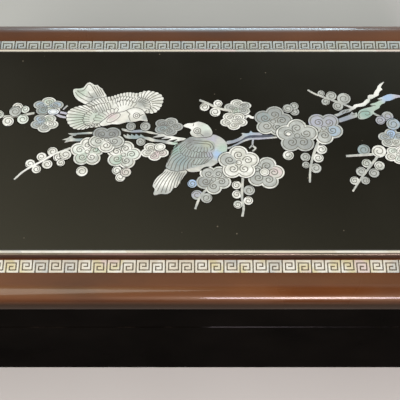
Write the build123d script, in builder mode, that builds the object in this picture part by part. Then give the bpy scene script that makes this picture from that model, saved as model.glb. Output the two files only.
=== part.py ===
from build123d import *
from math import cos, hypot, pi, radians, sin, tan
import os

# Cigarette box in black and brown lacquer with pearl shell inlay.
# Millimetres. X runs along the front, the front faces -Y, Z points up.
# The origin is the middle of the underside.

# Overall sizes, taken at the rim of the lid, which is the widest part
box_width = 200.0
box_depth = 115.0
base_height = 38.0
seam_gap = 0.2
skirt_height = 16.0
rail_thickness = 6.1
rim_radius = 6.0
rim_overhang = 0.6

# Boards
lid_wall = 6.5
lip_clearance = 0.5
bottom_thickness = 5.0
bottom_lap = 4.0
corner_lap = 3.5
joint_fit = 0.05
corner_radius = 0.8
seam_ease = 0.3
foot_ease = 0.5
liner_thickness = 2.0
lip_height = 3.0
liner_ease = 0.6
divider_thickness = 3.0
divider_drop = 4.0
dado_depth = 1.0

# Top of the lid, from the rim inwards
rim_flat = 4.15
fret_width = 4.58
panel_gap = 0.55
panel_margin = 0.75
pearl_line_width = 1.15
panel_raise = 2.5
panel_seat_depth = 2.5
panel_seat_width = 4.0
panel_edge_radius = 0.65
inlay_depth = 0.4
inlay_fit = 0.03

# Key fret: strips of pearl between saw cuts, nine strips to a pair of keys
key_pair_pitch = 9.48
key_columns = 9
key_rows = 4
key_strip_across = 0.61
key_strip_along = 0.72

# Pearl picture on the panel
shell_thickness = 0.25
petal_reach = 0.54
petal_size = 0.46
petal_sides = 8
bud_sides = 6
ellipse_sides = 18
picture_unit = 1.0

# Hinges
hinge_length = 25.0
hinge_inset = 40.0
leaf_thickness = 0.8
barrel_radius = 1.5
pin_radius = 0.75
pin_clearance = 0.05
knuckle_gap = 0.15
pocket_clearance = 0.2
groove_angle = 50.0
screw_length = 6.0
screw_shank_radius = 0.7
screw_head_radius = 1.25
screw_head_rim = 0.1
screw_spread = 7.5
screw_fit = 0.03
screw_sides = 8
bore_sides = 16

# Sizes that follow
base_wall = lid_wall + lip_clearance
body_width = box_width - 2 * rim_overhang
body_depth = box_depth - 2 * rim_overhang
room_width = body_width - 2 * base_wall
room_depth = body_depth - 2 * base_wall
skirt_bottom = base_height + seam_gap
rail_bottom = skirt_bottom + skirt_height
rail_top = rail_bottom + rail_thickness
panel_top = rail_top + panel_raise
fret_inset = rim_radius + rim_flat
panel_inset = fret_inset + fret_width + panel_gap
panel_width = box_width - 2 * panel_inset
panel_depth = box_depth - 2 * panel_inset
line_width = panel_width - 2 * panel_margin
line_depth = panel_depth - 2 * panel_margin
axis_y = body_depth / 2 - barrel_radius
axis_z = base_height + seam_gap / 2
leaf_width = lid_wall - barrel_radius
groove_height = barrel_radius * tan(radians(groove_angle))
knuckle_length = (hinge_length - 2 * knuckle_gap) / 3
hinge_centre = box_width / 2 - hinge_inset
screw_head_height = screw_head_rim + screw_head_radius - screw_shank_radius
screw_line = axis_y - (leaf_width + barrel_radius + knuckle_gap) / 2
liner_top = base_height + lip_height
divider_top = base_height - divider_drop

os.makedirs("parts", exist_ok=True)


def side_frame(side, width, depth, height):
    """Plane at the outer lower edge of a side: x runs inwards, y up, z along the side."""
    inwards, along, reach = {
        "front": ((0, 1, 0), (1, 0, 0), depth / 2),
        "back": ((0, -1, 0), (-1, 0, 0), depth / 2),
        "left": ((1, 0, 0), (0, -1, 0), width / 2),
        "right": ((-1, 0, 0), (0, 1, 0), width / 2),
    }[side]
    origin = Vector(*inwards) * -reach + Vector(0, 0, height)
    return Plane(origin=origin, x_dir=inwards, z_dir=along)


def side_length(side, width, depth):
    return width if side in ("front", "back") else depth


def finish(part, name):
    part.label = name
    export_step(part, "parts/" + name + ".step")


# Screw and hinge places, the same for the leaf on the base and the one on the lid
hinge_places = {"left": -hinge_centre, "right": hinge_centre}
screw_places = [
    (middle + spread, screw_line)
    for middle in hinge_places.values()
    for spread in (-screw_spread, screw_spread)
]


def countersunk_form(spare):
    """Countersunk screw, or its hole where spare is over 0. The head is level with z = 0 and
    the shank points down. A few flat sides stand for round on so small a screw."""
    with BuildPart() as form:
        with BuildSketch():
            RegularPolygon(screw_head_radius + spare, screw_sides, major_radius=False)
        extrude(amount=-screw_head_height)
        chamfer(form.edges().group_by(Axis.Z)[0], screw_head_radius - screw_shank_radius)
        with BuildSketch(Plane.XY.offset(-screw_head_height)):
            RegularPolygon(screw_shank_radius + spare, screw_sides, major_radius=False)
        extrude(amount=-(screw_length - screw_head_height + spare))
    return form.part


screw = countersunk_form(0)
screw_hole = countersunk_form(screw_fit)


def screw_locations(face, outwards):
    """Places of the screws on a seam face; each head looks outwards, to the other face."""
    turn = 0 if outwards > 0 else 180
    return [Location((x, y, face), (turn, 0, 0)) for x, y in screw_places]


def cut_hinge_mortises(wall_face, outwards):
    """Cut leaf mortises, barrel pockets and screw holes into the board under construction."""
    for middle in hinge_places.values():
        with Locations((middle, axis_y, wall_face)):
            Box(
                hinge_length + 2 * joint_fit,
                2 * base_wall,
                2 * leaf_thickness,
                mode=Mode.SUBTRACT,
            )
        with Locations((middle, axis_y, axis_z)):
            Box(
                hinge_length + 2 * pocket_clearance,
                2 * (barrel_radius + pocket_clearance),
                2 * (barrel_radius + pocket_clearance),
                mode=Mode.SUBTRACT,
            )
    with Locations(*screw_locations(wall_face, outwards)):
        add(screw_hole, mode=Mode.SUBTRACT)


def base_section(side):
    """Section of a base board: rebate below for the bottom board, eased outer edges."""
    top_run = barrel_radius if side == "back" else seam_ease
    top_fall = groove_height if side == "back" else seam_ease
    return [
        (foot_ease, 0),
        (0, foot_ease),
        (0, base_height - top_fall),
        (top_run, base_height),
        (base_wall, base_height),
        (base_wall, bottom_thickness),
        (base_wall - bottom_lap, bottom_thickness),
        (base_wall - bottom_lap, 0),
    ]


def skirt_section(side):
    """Section of a skirt board of the lid, measured up from its lower edge."""
    low_run = barrel_radius if side == "back" else seam_ease
    low_rise = groove_height if side == "back" else seam_ease
    return [
        (low_run, 0),
        (0, low_rise),
        (0, skirt_height),
        (lid_wall, skirt_height),
        (lid_wall, 0),
    ]


# Boards of the base and the skirt of the lid. The front and back boards run the whole width
# and lap over the ends of the side boards.
board_sets = [
    ("base_{}_wall", base_section, base_wall, 0, base_height),
    ("lid_{}_skirt", skirt_section, lid_wall, skirt_bottom, skirt_height),
]
for pattern, section, thickness, foot, height in board_sets:
    lap_rest = thickness - corner_lap
    for side in ("front", "back", "left", "right"):
        frame = side_frame(side, body_width, body_depth, foot)
        lapped = side in ("front", "back")
        length = side_length(side, body_width, body_depth)
        if not lapped:
            length -= 2 * (lap_rest + joint_fit)
        with BuildPart() as board:
            with BuildSketch(frame):
                with BuildLine():
                    Polyline(*section(side), close=True)
                make_face()
            extrude(amount=length / 2, both=True)
            if lapped:
                outer_face = board.faces().sort_by(Axis.Y)[0 if side == "front" else -1]
                for end in (-1, 1):
                    seat = frame.from_local_coords(Vector(thickness, height / 2, end * length / 2))
                    with Locations(seat):
                        Box(2 * thickness, 2 * corner_lap, height, mode=Mode.SUBTRACT)
                fillet(outer_face.edges().filter_by(Axis.Z), corner_radius)
            if side == "back":
                base_board = foot == 0
                cut_hinge_mortises(base_height if base_board else foot, 1 if base_board else -1)
        finish(board.part, pattern.format(side))

with BuildPart() as base_bottom_board:
    lap_room = 2 * (bottom_lap - joint_fit)
    with BuildSketch():
        Rectangle(room_width + lap_room, room_depth + lap_room)
    extrude(amount=bottom_thickness)
finish(base_bottom_board.part, "base_bottom_board")

# Lining boards stand on the bottom board and rise past the seam to guide the lid
for side in ("front", "back", "left", "right"):
    frame = side_frame(side, room_width, room_depth, bottom_thickness)
    length = side_length(side, room_width, room_depth)
    if side in ("left", "right"):
        length -= 2 * liner_thickness
    with BuildPart() as liner:
        with BuildSketch(frame) as liner_profile:
            with Locations((liner_thickness / 2, (liner_top - bottom_thickness) / 2)):
                Rectangle(liner_thickness, liner_top - bottom_thickness)
            chamfer(liner_profile.vertices().group_by(Axis.Z)[-1], liner_ease)
        extrude(amount=length / 2 - joint_fit, both=True)
        if side in ("front", "back"):
            with Locations(frame.from_local_coords(Vector(liner_thickness, 0, 0))):
                Box(
                    divider_thickness + 2 * joint_fit,
                    2 * dado_depth,
                    2 * (divider_top - bottom_thickness),
                    mode=Mode.SUBTRACT,
                )
    finish(liner.part, "liner_" + side)

with BuildPart() as divider:
    with BuildSketch(Plane.XZ) as divider_profile:
        with Locations((0, (bottom_thickness + divider_top) / 2)):
            Rectangle(divider_thickness, divider_top - bottom_thickness)
        chamfer(divider_profile.vertices().group_by(Axis.Z)[-1], liner_ease)
    extrude(amount=room_depth / 2 - liner_thickness + dado_depth - joint_fit, both=True)
finish(divider.part, "divider")

# Mitred rails of the lid: quarter-round rim, channel for the fret, seat for the panel
for side in ("front", "back", "left", "right"):
    frame = side_frame(side, box_width, box_depth, rail_bottom)
    length = side_length(side, box_width, box_depth)
    fret_end = fret_inset + fret_width
    seat_start = panel_inset - joint_fit
    seat_level = rail_thickness - panel_seat_depth
    with BuildPart() as rail:
        with BuildSketch(frame):
            with BuildLine():
                Line((0, 0), (0, rail_thickness - rim_radius))
                RadiusArc((0, rail_thickness - rim_radius), (rim_radius, rail_thickness), rim_radius)
                Polyline(
                    (rim_radius, rail_thickness),
                    (fret_inset, rail_thickness),
                    (fret_inset, rail_thickness - inlay_depth),
                    (fret_end, rail_thickness - inlay_depth),
                    (fret_end, rail_thickness),
                    (seat_start, rail_thickness),
                    (seat_start, seat_level),
                    (seat_start + panel_seat_width, seat_level),
                    (seat_start + panel_seat_width, 0),
                    (0, 0),
                )
            make_face()
        extrude(amount=length / 2, both=True)
        for end in (-1, 1):
            corner = frame.from_local_coords(Vector(0, 0, end * length / 2))
            mitre = Plane(origin=corner, z_dir=frame.x_dir + frame.z_dir * end)
            split(bisect_by=mitre, keep=Keep.BOTTOM)
    finish(rail.part, "lid_" + side + "_rail")

with BuildPart() as lid_panel:
    with BuildSketch(Plane.XY.offset(rail_top - panel_seat_depth)):
        Rectangle(panel_width, panel_depth)
    extrude(amount=panel_seat_depth + panel_raise)
    fillet(lid_panel.faces().sort_by(Axis.Z)[-1].edges(), panel_edge_radius)
    with BuildSketch(Plane.XY.offset(panel_top)):
        Rectangle(line_width, line_depth)
        Rectangle(
            line_width - 2 * pearl_line_width,
            line_depth - 2 * pearl_line_width,
            mode=Mode.SUBTRACT,
        )
    extrude(amount=-inlay_depth, mode=Mode.SUBTRACT)
finish(lid_panel.part, "lid_panel")

with BuildPart() as pearl_line:
    with BuildSketch(Plane.XY.offset(panel_top - inlay_depth)):
        Rectangle(line_width - 2 * inlay_fit, line_depth - 2 * inlay_fit)
        Rectangle(
            line_width - 2 * (pearl_line_width - inlay_fit),
            line_depth - 2 * (pearl_line_width - inlay_fit),
            mode=Mode.SUBTRACT,
        )
    extrude(amount=inlay_depth)
finish(pearl_line.part, "pearl_line")


def key_cut(column_pitch, row_pitch, width, height):
    """Legs of the saw cut that makes one spiral key, as (centre, size) pairs.

    The cut comes in from the outer edge and turns inwards three times. Its corners are given
    as (column gap, row gap), counted from the upper left corner of the pair."""
    corners = [(3, -1), (3, 2), (0, 2), (0, 0), (2, 0), (2, 1), (1, 1)]
    across = column_pitch - key_strip_across
    along = row_pitch - key_strip_along
    places = [
        (
            (column + 0.5) * column_pitch + key_strip_across / 2 - width / 2,
            height / 2 - (row + 0.5) * row_pitch - key_strip_along / 2,
        )
        for column, row in corners
    ]
    legs = []
    for (x0, y0), (x1, y1) in zip(places, places[1:]):
        centre = ((x0 + x1) / 2, (y0 + y1) / 2)
        legs.append((centre, (abs(x1 - x0) + across, abs(y1 - y0) + along)))
    return legs


def fret_band(length, band_width):
    """Row of paired keys, evenly spread so that whole pairs fill the length."""
    separator = key_pair_pitch / key_columns - key_strip_across
    pairs = round((length + separator) / key_pair_pitch)
    pitch = (length + separator) / pairs
    column_pitch = pitch / key_columns
    pair_width = (key_columns - 1) * column_pitch + key_strip_across
    row_pitch = (band_width - key_strip_along) / (key_rows - 1)
    with BuildSketch() as pair:
        Rectangle(pair_width, band_width)
        for centre, size in key_cut(column_pitch, row_pitch, pair_width, band_width):
            for turn in (1, -1):
                with Locations((centre[0] * turn, centre[1] * turn)):
                    Rectangle(*size, mode=Mode.SUBTRACT)
    with BuildSketch() as band:
        with GridLocations(pitch, 0, pairs, 1):
            add(pair.sketch)
    return band.sketch


# Fret bands: front and back take the corners, the side bands fit between them
for side in ("front", "back", "left", "right"):
    inset = fret_inset + fret_width / 2
    frame = side_frame(side, box_width, box_depth, rail_top - inlay_depth)
    centre = frame.from_local_coords(Vector(inset, 0, 0))
    length = side_length(side, box_width, box_depth) - 2 * (fret_inset + inlay_fit)
    if side in ("left", "right"):
        corner_gap = key_pair_pitch / key_columns - key_strip_across
        length -= 2 * (fret_width - inlay_fit + corner_gap)
    with BuildPart() as fret:
        with BuildSketch(Plane(origin=centre, x_dir=frame.z_dir, z_dir=(0, 0, 1))):
            add(fret_band(length, fret_width - 2 * inlay_fit))
        extrude(amount=inlay_depth)
    finish(fret.part, "fret_" + side)

# The picture, laid out in picture units from the middle of the panel.
# Blossoms are (x, y, half width, turn in degrees, height over width).
blossoms = [
    (-56.3, 16.2, 5.5, 90, 0.72),
    (-57.1, 9.2, 5.1, 54, 0.76),
    (-35.2, 2.4, 6.2, 54, 0.9),
    (-41.6, -2.7, 6.0, 18, 0.98),
    (-29.2, -3.9, 6.2, 5, 0.92),
    (-14.0, 7.7, 5.2, 70, 0.74),
    (-18.5, -2.5, 4.9, 54, 0.78),
    (10.4, 15.6, 5.0, 100, 0.72),
    (8.8, 10.1, 5.0, 54, 0.75),
    (22.5, 9.9, 7.0, 80, 0.91),
    (30.6, 3.8, 7.4, 90, 0.96),
    (40.0, 7.0, 6.9, 54, 0.95),
    (10.2, -7.1, 7.2, 90, 0.95),
    (19.0, -11.2, 6.8, 5, 0.93),
    (1.6, -13.8, 6.1, 54, 0.95),
    (63.2, 2.9, 4.9, 20, 0.8),
    (64.8, -3.9, 4.7, 60, 0.82),
]

# Buds and loose petals are (x, y, radius)
buds = [
    (-73.3, 12.8, 1.7),
    (-69.9, 9.9, 2.0),
    (-67.1, 15.9, 1.9),
    (-67.8, 14.1, 2.1),
    (-64.4, 15.0, 1.5),
    (-64.8, 10.8, 2.0),
    (-53.5, -2.6, 1.8),
    (-57.1, -4.7, 1.7),
    (-60.8, -7.5, 1.7),
    (-58.5, -9.7, 1.6),
    (-55.0, -7.7, 1.8),
    (-51.4, -4.8, 1.8),
    (-49.0, -3.9, 2.0),
    (-50.4, -7.1, 1.4),
    (-43.0, -10.5, 2.0),
    (-31.2, -10.2, 1.7),
    (-28.1, -10.9, 1.8),
    (-29.9, -12.9, 1.7),
    (-27.0, 7.8, 1.7),
    (-22.0, 7.8, 1.8),
    (-23.4, 1.4, 1.6),
    (-1.4, 16.0, 1.7),
    (3.3, 17.4, 1.6),
    (2.3, 13.8, 1.9),
    (27.8, 15.3, 1.8),
    (30.1, 16.4, 1.6),
    (30.2, 14.0, 1.6),
    (27.2, -4.1, 1.9),
    (38.7, -1.7, 1.9),
    (37.4, -5.2, 1.8),
    (33.0, -4.8, 1.7),
    (33.0, -8.0, 1.3),
    (36.3, -9.3, 1.9),
    (39.9, 21.8, 1.3),
    (43.4, 20.8, 1.9),
    (41.3, 18.3, 1.5),
    (47.8, 19.6, 2.4),
    (45.5, 16.4, 1.9),
    (62.5, 12.0, 2.1),
    (59.9, 10.3, 1.7),
    (64.2, 8.7, 2.4),
    (53.2, -1.9, 2.2),
    (58.3, -2.5, 2.5),
    (53.7, -7.3, 1.7),
    (58.0, -8.3, 1.8),
    (51.6, -10.6, 1.8),
    (55.9, -11.2, 1.8),
    (49.1, -14.2, 1.6),
    (52.8, -14.2, 1.5),
    (-5.6, -15.4, 1.6),
    (-4.0, -19.8, 1.9),
    (-0.8, -21.0, 1.9),
    (9.3, -16.0, 1.6),
    (9.3, -19.6, 1.6),
    (9.6, -23.5, 1.5),
    (13.5, -18.0, 1.9),
    (13.1, -22.0, 1.6),
]

# Branches and twigs are (width at the start, width at the end, points along the middle)
branches = [
    (1.0, 0.7, [(-76.5, 11.6), (-70.0, 12.2), (-61.0, 13.8)]),
    (0.8, 1.3, [(-50.2, 11.9), (-52.6, 12.9), (-55.0, 13.5)]),
    (1.1, 0.8, [(-38.0, 5.2), (-44.0, 4.9), (-48.6, 4.6)]),
    (1.6, 0.9, [(-40.0, 2.3), (-46.0, 2.8), (-50.3, 2.5)]),
    (0.8, 1.2, [(-30.5, 6.8), (-27.0, 6.0), (-22.0, 5.6), (-15.0, 3.6), (-7.0, 2.8)]),
    (1.3, 1.4, [(-29.4, 4.1), (-23.0, 2.9), (-17.0, 1.9), (-10.0, 0.9)]),
    (0.8, 1.0, [(-65.3, -13.8), (-60.0, -9.2), (-56.0, -5.6), (-47.0, -1.6)]),
    (0.8, 0.9, [(-3.2, 19.0), (0.0, 17.4), (3.0, 15.6), (8.0, 14.4)]),
    (1.2, 1.0, [(13.0, 12.0), (17.0, 11.8)]),
    (1.1, 1.2, [(5.5, 1.2), (10.0, 2.3), (12.8, 4.4), (17.5, 4.8)]),
    (1.2, 1.2, [(5.5, -1.2), (10.0, 0.5), (14.5, 2.6), (24.0, 3.2)]),
    (0.7, 0.7, [(15.3, 2.4), (15.1, -0.1), (16.1, -1.1), (15.0, -2.4)]),
    (0.6, 0.5, [(15.1, 0.1), (13.9, -1.2)]),
    (1.0, 0.7, [(38.0, 2.0), (35.6, -4.6), (34.4, -10.0), (34.0, -14.9)]),
    (0.6, 0.8, [(35.2, 23.4), (38.0, 21.5), (44.0, 18.8), (50.5, 15.7)]),
    (1.4, 0.6, [(43.5, 12.5), (48.0, 14.0), (54.0, 17.2), (58.5, 20.4), (62.4, 27.0)]),
    (1.5, 1.2, [(44.5, 10.2), (51.0, 12.4), (57.0, 15.2), (61.5, 19.2), (66.0, 20.9), (71.5, 20.2)]),
    (0.7, 0.6, [(57.0, 13.8), (60.5, 12.0)]),
    (0.9, 1.0, [(46.9, -4.4), (57.0, -3.6)]),
    (0.7, 0.9, [(48.2, -18.4), (51.0, -13.9), (54.2, -9.4), (57.8, -4.4)]),
    (0.7, 0.9, [(-4.6, -25.2), (-3.0, -20.6), (-0.6, -17.4)]),
    (0.9, 0.8, [(11.5, -12.6), (11.0, -20.5), (11.5, -24.5), (11.0, -28.0)]),
]
knot = (55.0, 13.5, 2.9, 2.0, 25)

# Birds: wings and heads are ellipses, (x, y, long radius, short radius, turn in degrees)
flying_ellipses = [
    (-41.3, 12.3, 8.2, 5.3, 8),
    (-31.0, 18.3, 7.6, 3.6, 5),
    (-21.6, 18.1, 5.6, 4.6, -8),
    (-31.5, 12.4, 7.0, 4.0, 12),
    (-25.2, 12.6, 3.5, 3.2, 0),
]
flying_tail = [
    (-44.0, 17.0),
    (-47.4, 20.6),
    (-47.6, 23.9),
    (-44.4, 23.9),
    (-42.3, 26.6),
    (-38.0, 24.3),
    (-36.0, 20.0),
]
flying_beak = [(-23.6, 14.6), (-21.2, 9.8), (-25.6, 10.0)]
perched_ellipses = [
    (-4.0, -3.7, 11.5, 6.5, 27),
    (-2.6, 5.4, 4.0, 4.1, 0),
]
perched_tail = [(-15.2, -9.6), (-18.6, -14.4), (-18.7, -19.7), (-14.6, -19.6), (-11.4, -16.6), (-7.0, -10.2)]
perched_beak = [(-4.6, 9.2), (-8.8, 8.2), (-6.2, 4.4)]


def ellipse_outline(x, y, long_radius, short_radius, turn, sides=ellipse_sides):
    """Ellipse as an even polygon, which keeps the thin shells light."""
    angles = [2 * pi * step / sides for step in range(sides)]
    points = [Vector(long_radius * cos(a), short_radius * sin(a)) for a in angles]
    turned = [point.rotate(Axis.Z, turn) for point in points]
    Polygon(*[(x + point.X, y + point.Y) for point in turned], align=None)


def blossom_outlines():
    """Five petals about a heart; a flower seen from the side is less high than wide."""
    for x, y, half_width, turn, squat in blossoms:
        reach = petal_reach * half_width
        lobe = petal_size * half_width
        ellipse_outline(x, y, reach, squat * reach, 0, petal_sides)
        for petal in range(5):
            angle = radians(turn + 72 * petal)
            petal_x = x + reach * cos(angle)
            petal_y = y + squat * reach * sin(angle)
            ellipse_outline(petal_x, petal_y, lobe, squat * lobe, 0, petal_sides)


def bud_outlines():
    for x, y, radius in buds:
        with Locations((x, y)):
            RegularPolygon(radius, bud_sides)


def bird_outlines(ellipses, straight_outlines):
    for ellipse in ellipses:
        ellipse_outline(*ellipse)
    for outline in straight_outlines:
        Polygon(*outline, align=None)


def strip_outline(start_width, end_width, points):
    """Outline of a tapering strip that follows the points."""
    one_side = []
    other_side = []
    for index, (x, y) in enumerate(points):
        x0, y0 = points[max(index - 1, 0)]
        x1, y1 = points[min(index + 1, len(points) - 1)]
        run = hypot(x1 - x0, y1 - y0)
        share = index / (len(points) - 1)
        half = (start_width + (end_width - start_width) * share) / 2
        across = ((y0 - y1) / run * half, (x1 - x0) / run * half)
        one_side.append((x + across[0], y + across[1]))
        other_side.append((x - across[0], y - across[1]))
    return one_side + other_side[::-1]


with BuildSketch() as blossom_shapes:
    blossom_outlines()

with BuildSketch() as bud_shapes:
    bud_outlines()
    add(blossom_shapes.sketch, mode=Mode.SUBTRACT)

with BuildSketch() as flying_shapes:
    bird_outlines(flying_ellipses, [flying_tail, flying_beak])
    add(blossom_shapes.sketch, mode=Mode.SUBTRACT)

with BuildSketch() as perched_shapes:
    bird_outlines(perched_ellipses, [perched_tail, perched_beak])
    add(blossom_shapes.sketch, mode=Mode.SUBTRACT)
    add(bud_shapes.sketch, mode=Mode.SUBTRACT)

with BuildSketch() as branch_shapes:
    for start_width, end_width, points in branches:
        Polygon(*strip_outline(start_width, end_width, points), align=None)
    ellipse_outline(*knot)
    for covering in (blossom_shapes, bud_shapes, flying_shapes, perched_shapes):
        add(covering.sketch, mode=Mode.SUBTRACT)

picture = {
    "pearl_blossoms": blossom_shapes,
    "pearl_buds": bud_shapes,
    "pearl_branches": branch_shapes,
    "pearl_bird_flying": flying_shapes,
    "pearl_bird_perched": perched_shapes,
}
for name, shapes in picture.items():
    with BuildPart() as inlay:
        with BuildSketch(Plane.XY.offset(panel_top)):
            add(scale(shapes.sketch, by=picture_unit, mode=Mode.PRIVATE))
        extrude(amount=shell_thickness)
    finish(inlay.part, name)


def knuckle_notch(x, length):
    """Clear the leaf for a knuckle of the other leaf."""
    room = 2 * (barrel_radius + knuckle_gap)
    with Locations((x, axis_y, axis_z)):
        Box(length, room, room, mode=Mode.SUBTRACT)


def knuckle_bore(x, radius):
    """Bore for the pin, a prism whose few flats lie on a circle of this radius."""
    with BuildSketch(Plane.YZ.offset(x)) as bore:
        with Locations((axis_y, axis_z)):
            RegularPolygon(radius, bore_sides, major_radius=False)
    extrude(bore.sketch, amount=hinge_length, both=True, mode=Mode.SUBTRACT)


# Butt hinges: two outer knuckles on the base leaf, one between them on the lid leaf
for place, middle in hinge_places.items():
    for body, face, outwards in (("base", base_height, 1), ("lid", skirt_bottom, -1)):
        low = face - leaf_thickness if outwards > 0 else face
        with BuildPart() as leaf:
            with BuildSketch(Plane.YZ.offset(middle)):
                with Locations((axis_y - leaf_width / 2, low + leaf_thickness / 2)):
                    Rectangle(leaf_width, leaf_thickness)
                with Locations((axis_y, axis_z)):
                    Circle(barrel_radius)
            extrude(amount=hinge_length / 2, both=True)
            if body == "base":
                knuckle_notch(middle, knuckle_length + 2 * knuckle_gap)
                knuckle_bore(middle, pin_radius)
            else:
                for end in (-1, 1):
                    knuckle_notch(middle + end * hinge_length / 2, hinge_length - knuckle_length)
                knuckle_bore(middle, pin_radius + pin_clearance)
            with Locations(*screw_locations(face, outwards)):
                add(screw_hole, mode=Mode.SUBTRACT)
        finish(leaf.part, "hinge_" + place + "_" + body + "_leaf")
    with BuildPart() as pin:
        with Locations((middle, axis_y, axis_z)):
            Cylinder(pin_radius, hinge_length, rotation=(0, 90, 0))
    finish(pin.part, "hinge_" + place + "_pin")

# Screws; their heads face each other across the seam
for body, face, outwards in (("base", base_height, 1), ("lid", skirt_bottom, -1)):
    with BuildPart() as screws:
        with Locations(*screw_locations(face, outwards)):
            add(screw)
    finish(screws.part, "hinge_" + body + "_screws")
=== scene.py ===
import random
from math import atan2, cos, hypot, pi, radians, sin, sqrt

import bpy
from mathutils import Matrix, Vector


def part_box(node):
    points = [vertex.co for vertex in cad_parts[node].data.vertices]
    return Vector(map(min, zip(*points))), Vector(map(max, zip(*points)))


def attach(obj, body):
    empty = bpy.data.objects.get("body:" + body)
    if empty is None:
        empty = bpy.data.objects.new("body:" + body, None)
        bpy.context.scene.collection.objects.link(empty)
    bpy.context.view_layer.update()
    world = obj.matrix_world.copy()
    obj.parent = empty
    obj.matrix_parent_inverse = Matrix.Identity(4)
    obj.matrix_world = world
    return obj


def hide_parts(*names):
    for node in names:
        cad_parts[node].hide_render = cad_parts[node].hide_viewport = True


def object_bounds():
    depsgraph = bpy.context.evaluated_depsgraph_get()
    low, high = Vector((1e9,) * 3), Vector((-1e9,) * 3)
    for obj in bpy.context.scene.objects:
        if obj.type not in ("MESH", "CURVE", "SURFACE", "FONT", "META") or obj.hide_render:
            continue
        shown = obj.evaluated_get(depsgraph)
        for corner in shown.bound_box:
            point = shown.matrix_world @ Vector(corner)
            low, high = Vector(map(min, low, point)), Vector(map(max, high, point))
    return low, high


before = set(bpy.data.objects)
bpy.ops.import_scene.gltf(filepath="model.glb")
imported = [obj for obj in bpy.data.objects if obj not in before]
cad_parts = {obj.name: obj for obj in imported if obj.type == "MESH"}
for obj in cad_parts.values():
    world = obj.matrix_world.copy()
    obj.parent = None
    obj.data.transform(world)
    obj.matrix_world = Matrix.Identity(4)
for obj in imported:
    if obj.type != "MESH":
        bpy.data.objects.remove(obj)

# Cigarette box in black and brown lacquer with pearl shell inlay.
# Sizes here are millimetres and are turned into metres where a mesh or a place is made. Those of
# the floor and the lamps are in metres.

cad_low, cad_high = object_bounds()

MM = 0.001
random.seed(11)


def node_box(name):
    """Lowest and highest corner of a node, in millimetres."""
    low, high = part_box(name)
    return low / MM, high / MM


# Sizes read from the frame
_, rail_high = node_box("lid_front_rail")
_, side_rail_high = node_box("lid_left_rail")
_, panel_high = node_box("lid_panel")
_, line_high = node_box("pearl_line")
fret_low, fret_high = node_box("fret_front")
half_width = rail_high.x
half_depth = side_rail_high.y
rail_top = rail_high.z
panel_half_width = panel_high.x
panel_half_depth = panel_high.y
panel_top = panel_high.z
line_inset = panel_half_width - line_high.x
channel_start = half_width - fret_high.x
channel_end = channel_start + (fret_high.y - fret_low.y)
channel_floor = fret_low.z

# Sizes of the inlaid strips: breadth of the border line, length of its strips, pitch of the keys
line_broad = 1.13
strip_length = 17.0
key_pitch = 4.74

# The border line darkens inwards, from one share of its breadth to another
line_dark_from, line_dark_to = 0.6, 0.78


# Nodes of materials and of the world

class Nodes:
    """Short calls for the nodes of one tree."""

    def __init__(self, tree):
        self.tree = tree

    def add(self, kind, **settings):
        node = self.tree.nodes.new(kind)
        for key, value in settings.items():
            setattr(node, key, value)
        return node

    def feed(self, socket, value):
        """Link a socket to another one, or set it to a plain value."""
        if isinstance(value, bpy.types.NodeSocket):
            self.tree.links.new(value, socket)
        else:
            socket.default_value = value

    def maths(self, operation, first, second=0.0):
        node = self.add("ShaderNodeMath", operation=operation)
        self.feed(node.inputs[0], first)
        self.feed(node.inputs[1], second)
        return node.outputs[0]

    def vector(self, operation, first, second=None, factor=None):
        """Result of vector maths: a number for a length or a dot product, otherwise a vector."""
        node = self.add("ShaderNodeVectorMath", operation=operation)
        self.feed(node.inputs[0], first)
        if second is not None:
            self.feed(node.inputs[1], second)
        if factor is not None:
            self.feed(node.inputs["Scale"], factor)
        return node.outputs["Value" if operation in ("LENGTH", "DOT_PRODUCT") else "Vector"]

    def parts(self, vector):
        node = self.add("ShaderNodeSeparateXYZ")
        self.feed(node.inputs[0], vector)
        return tuple(node.outputs)

    def between(self, value, low, high, out_low=0.0, out_high=1.0, kind="LINEAR"):
        """Value from low to high, moved to the range from out_low to out_high and held there."""
        node = self.add("ShaderNodeMapRange", clamp=True, interpolation_type=kind)
        for socket, entry in zip(node.inputs, (value, low, high, out_low, out_high)):
            self.feed(socket, entry)
        return node.outputs[0]

    def ramp(self, value, stops, kind="EASE"):
        node = self.add("ShaderNodeValToRGB")
        node.color_ramp.interpolation = kind
        while len(node.color_ramp.elements) < len(stops):
            node.color_ramp.elements.new(0.5)
        for element, (position, colour) in zip(node.color_ramp.elements, stops):
            element.position = position
            element.color = colour
        self.feed(node.inputs[0], value)
        return node.outputs[0]

    def mix(self, share, first, second):
        node = self.add("ShaderNodeMix", data_type="RGBA")
        colours = [socket for socket in node.inputs if socket.type == "RGBA"]
        self.feed(node.inputs[0], share)
        self.feed(colours[0], first)
        self.feed(colours[1], second)
        return [socket for socket in node.outputs if socket.type == "RGBA"][0]


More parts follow.
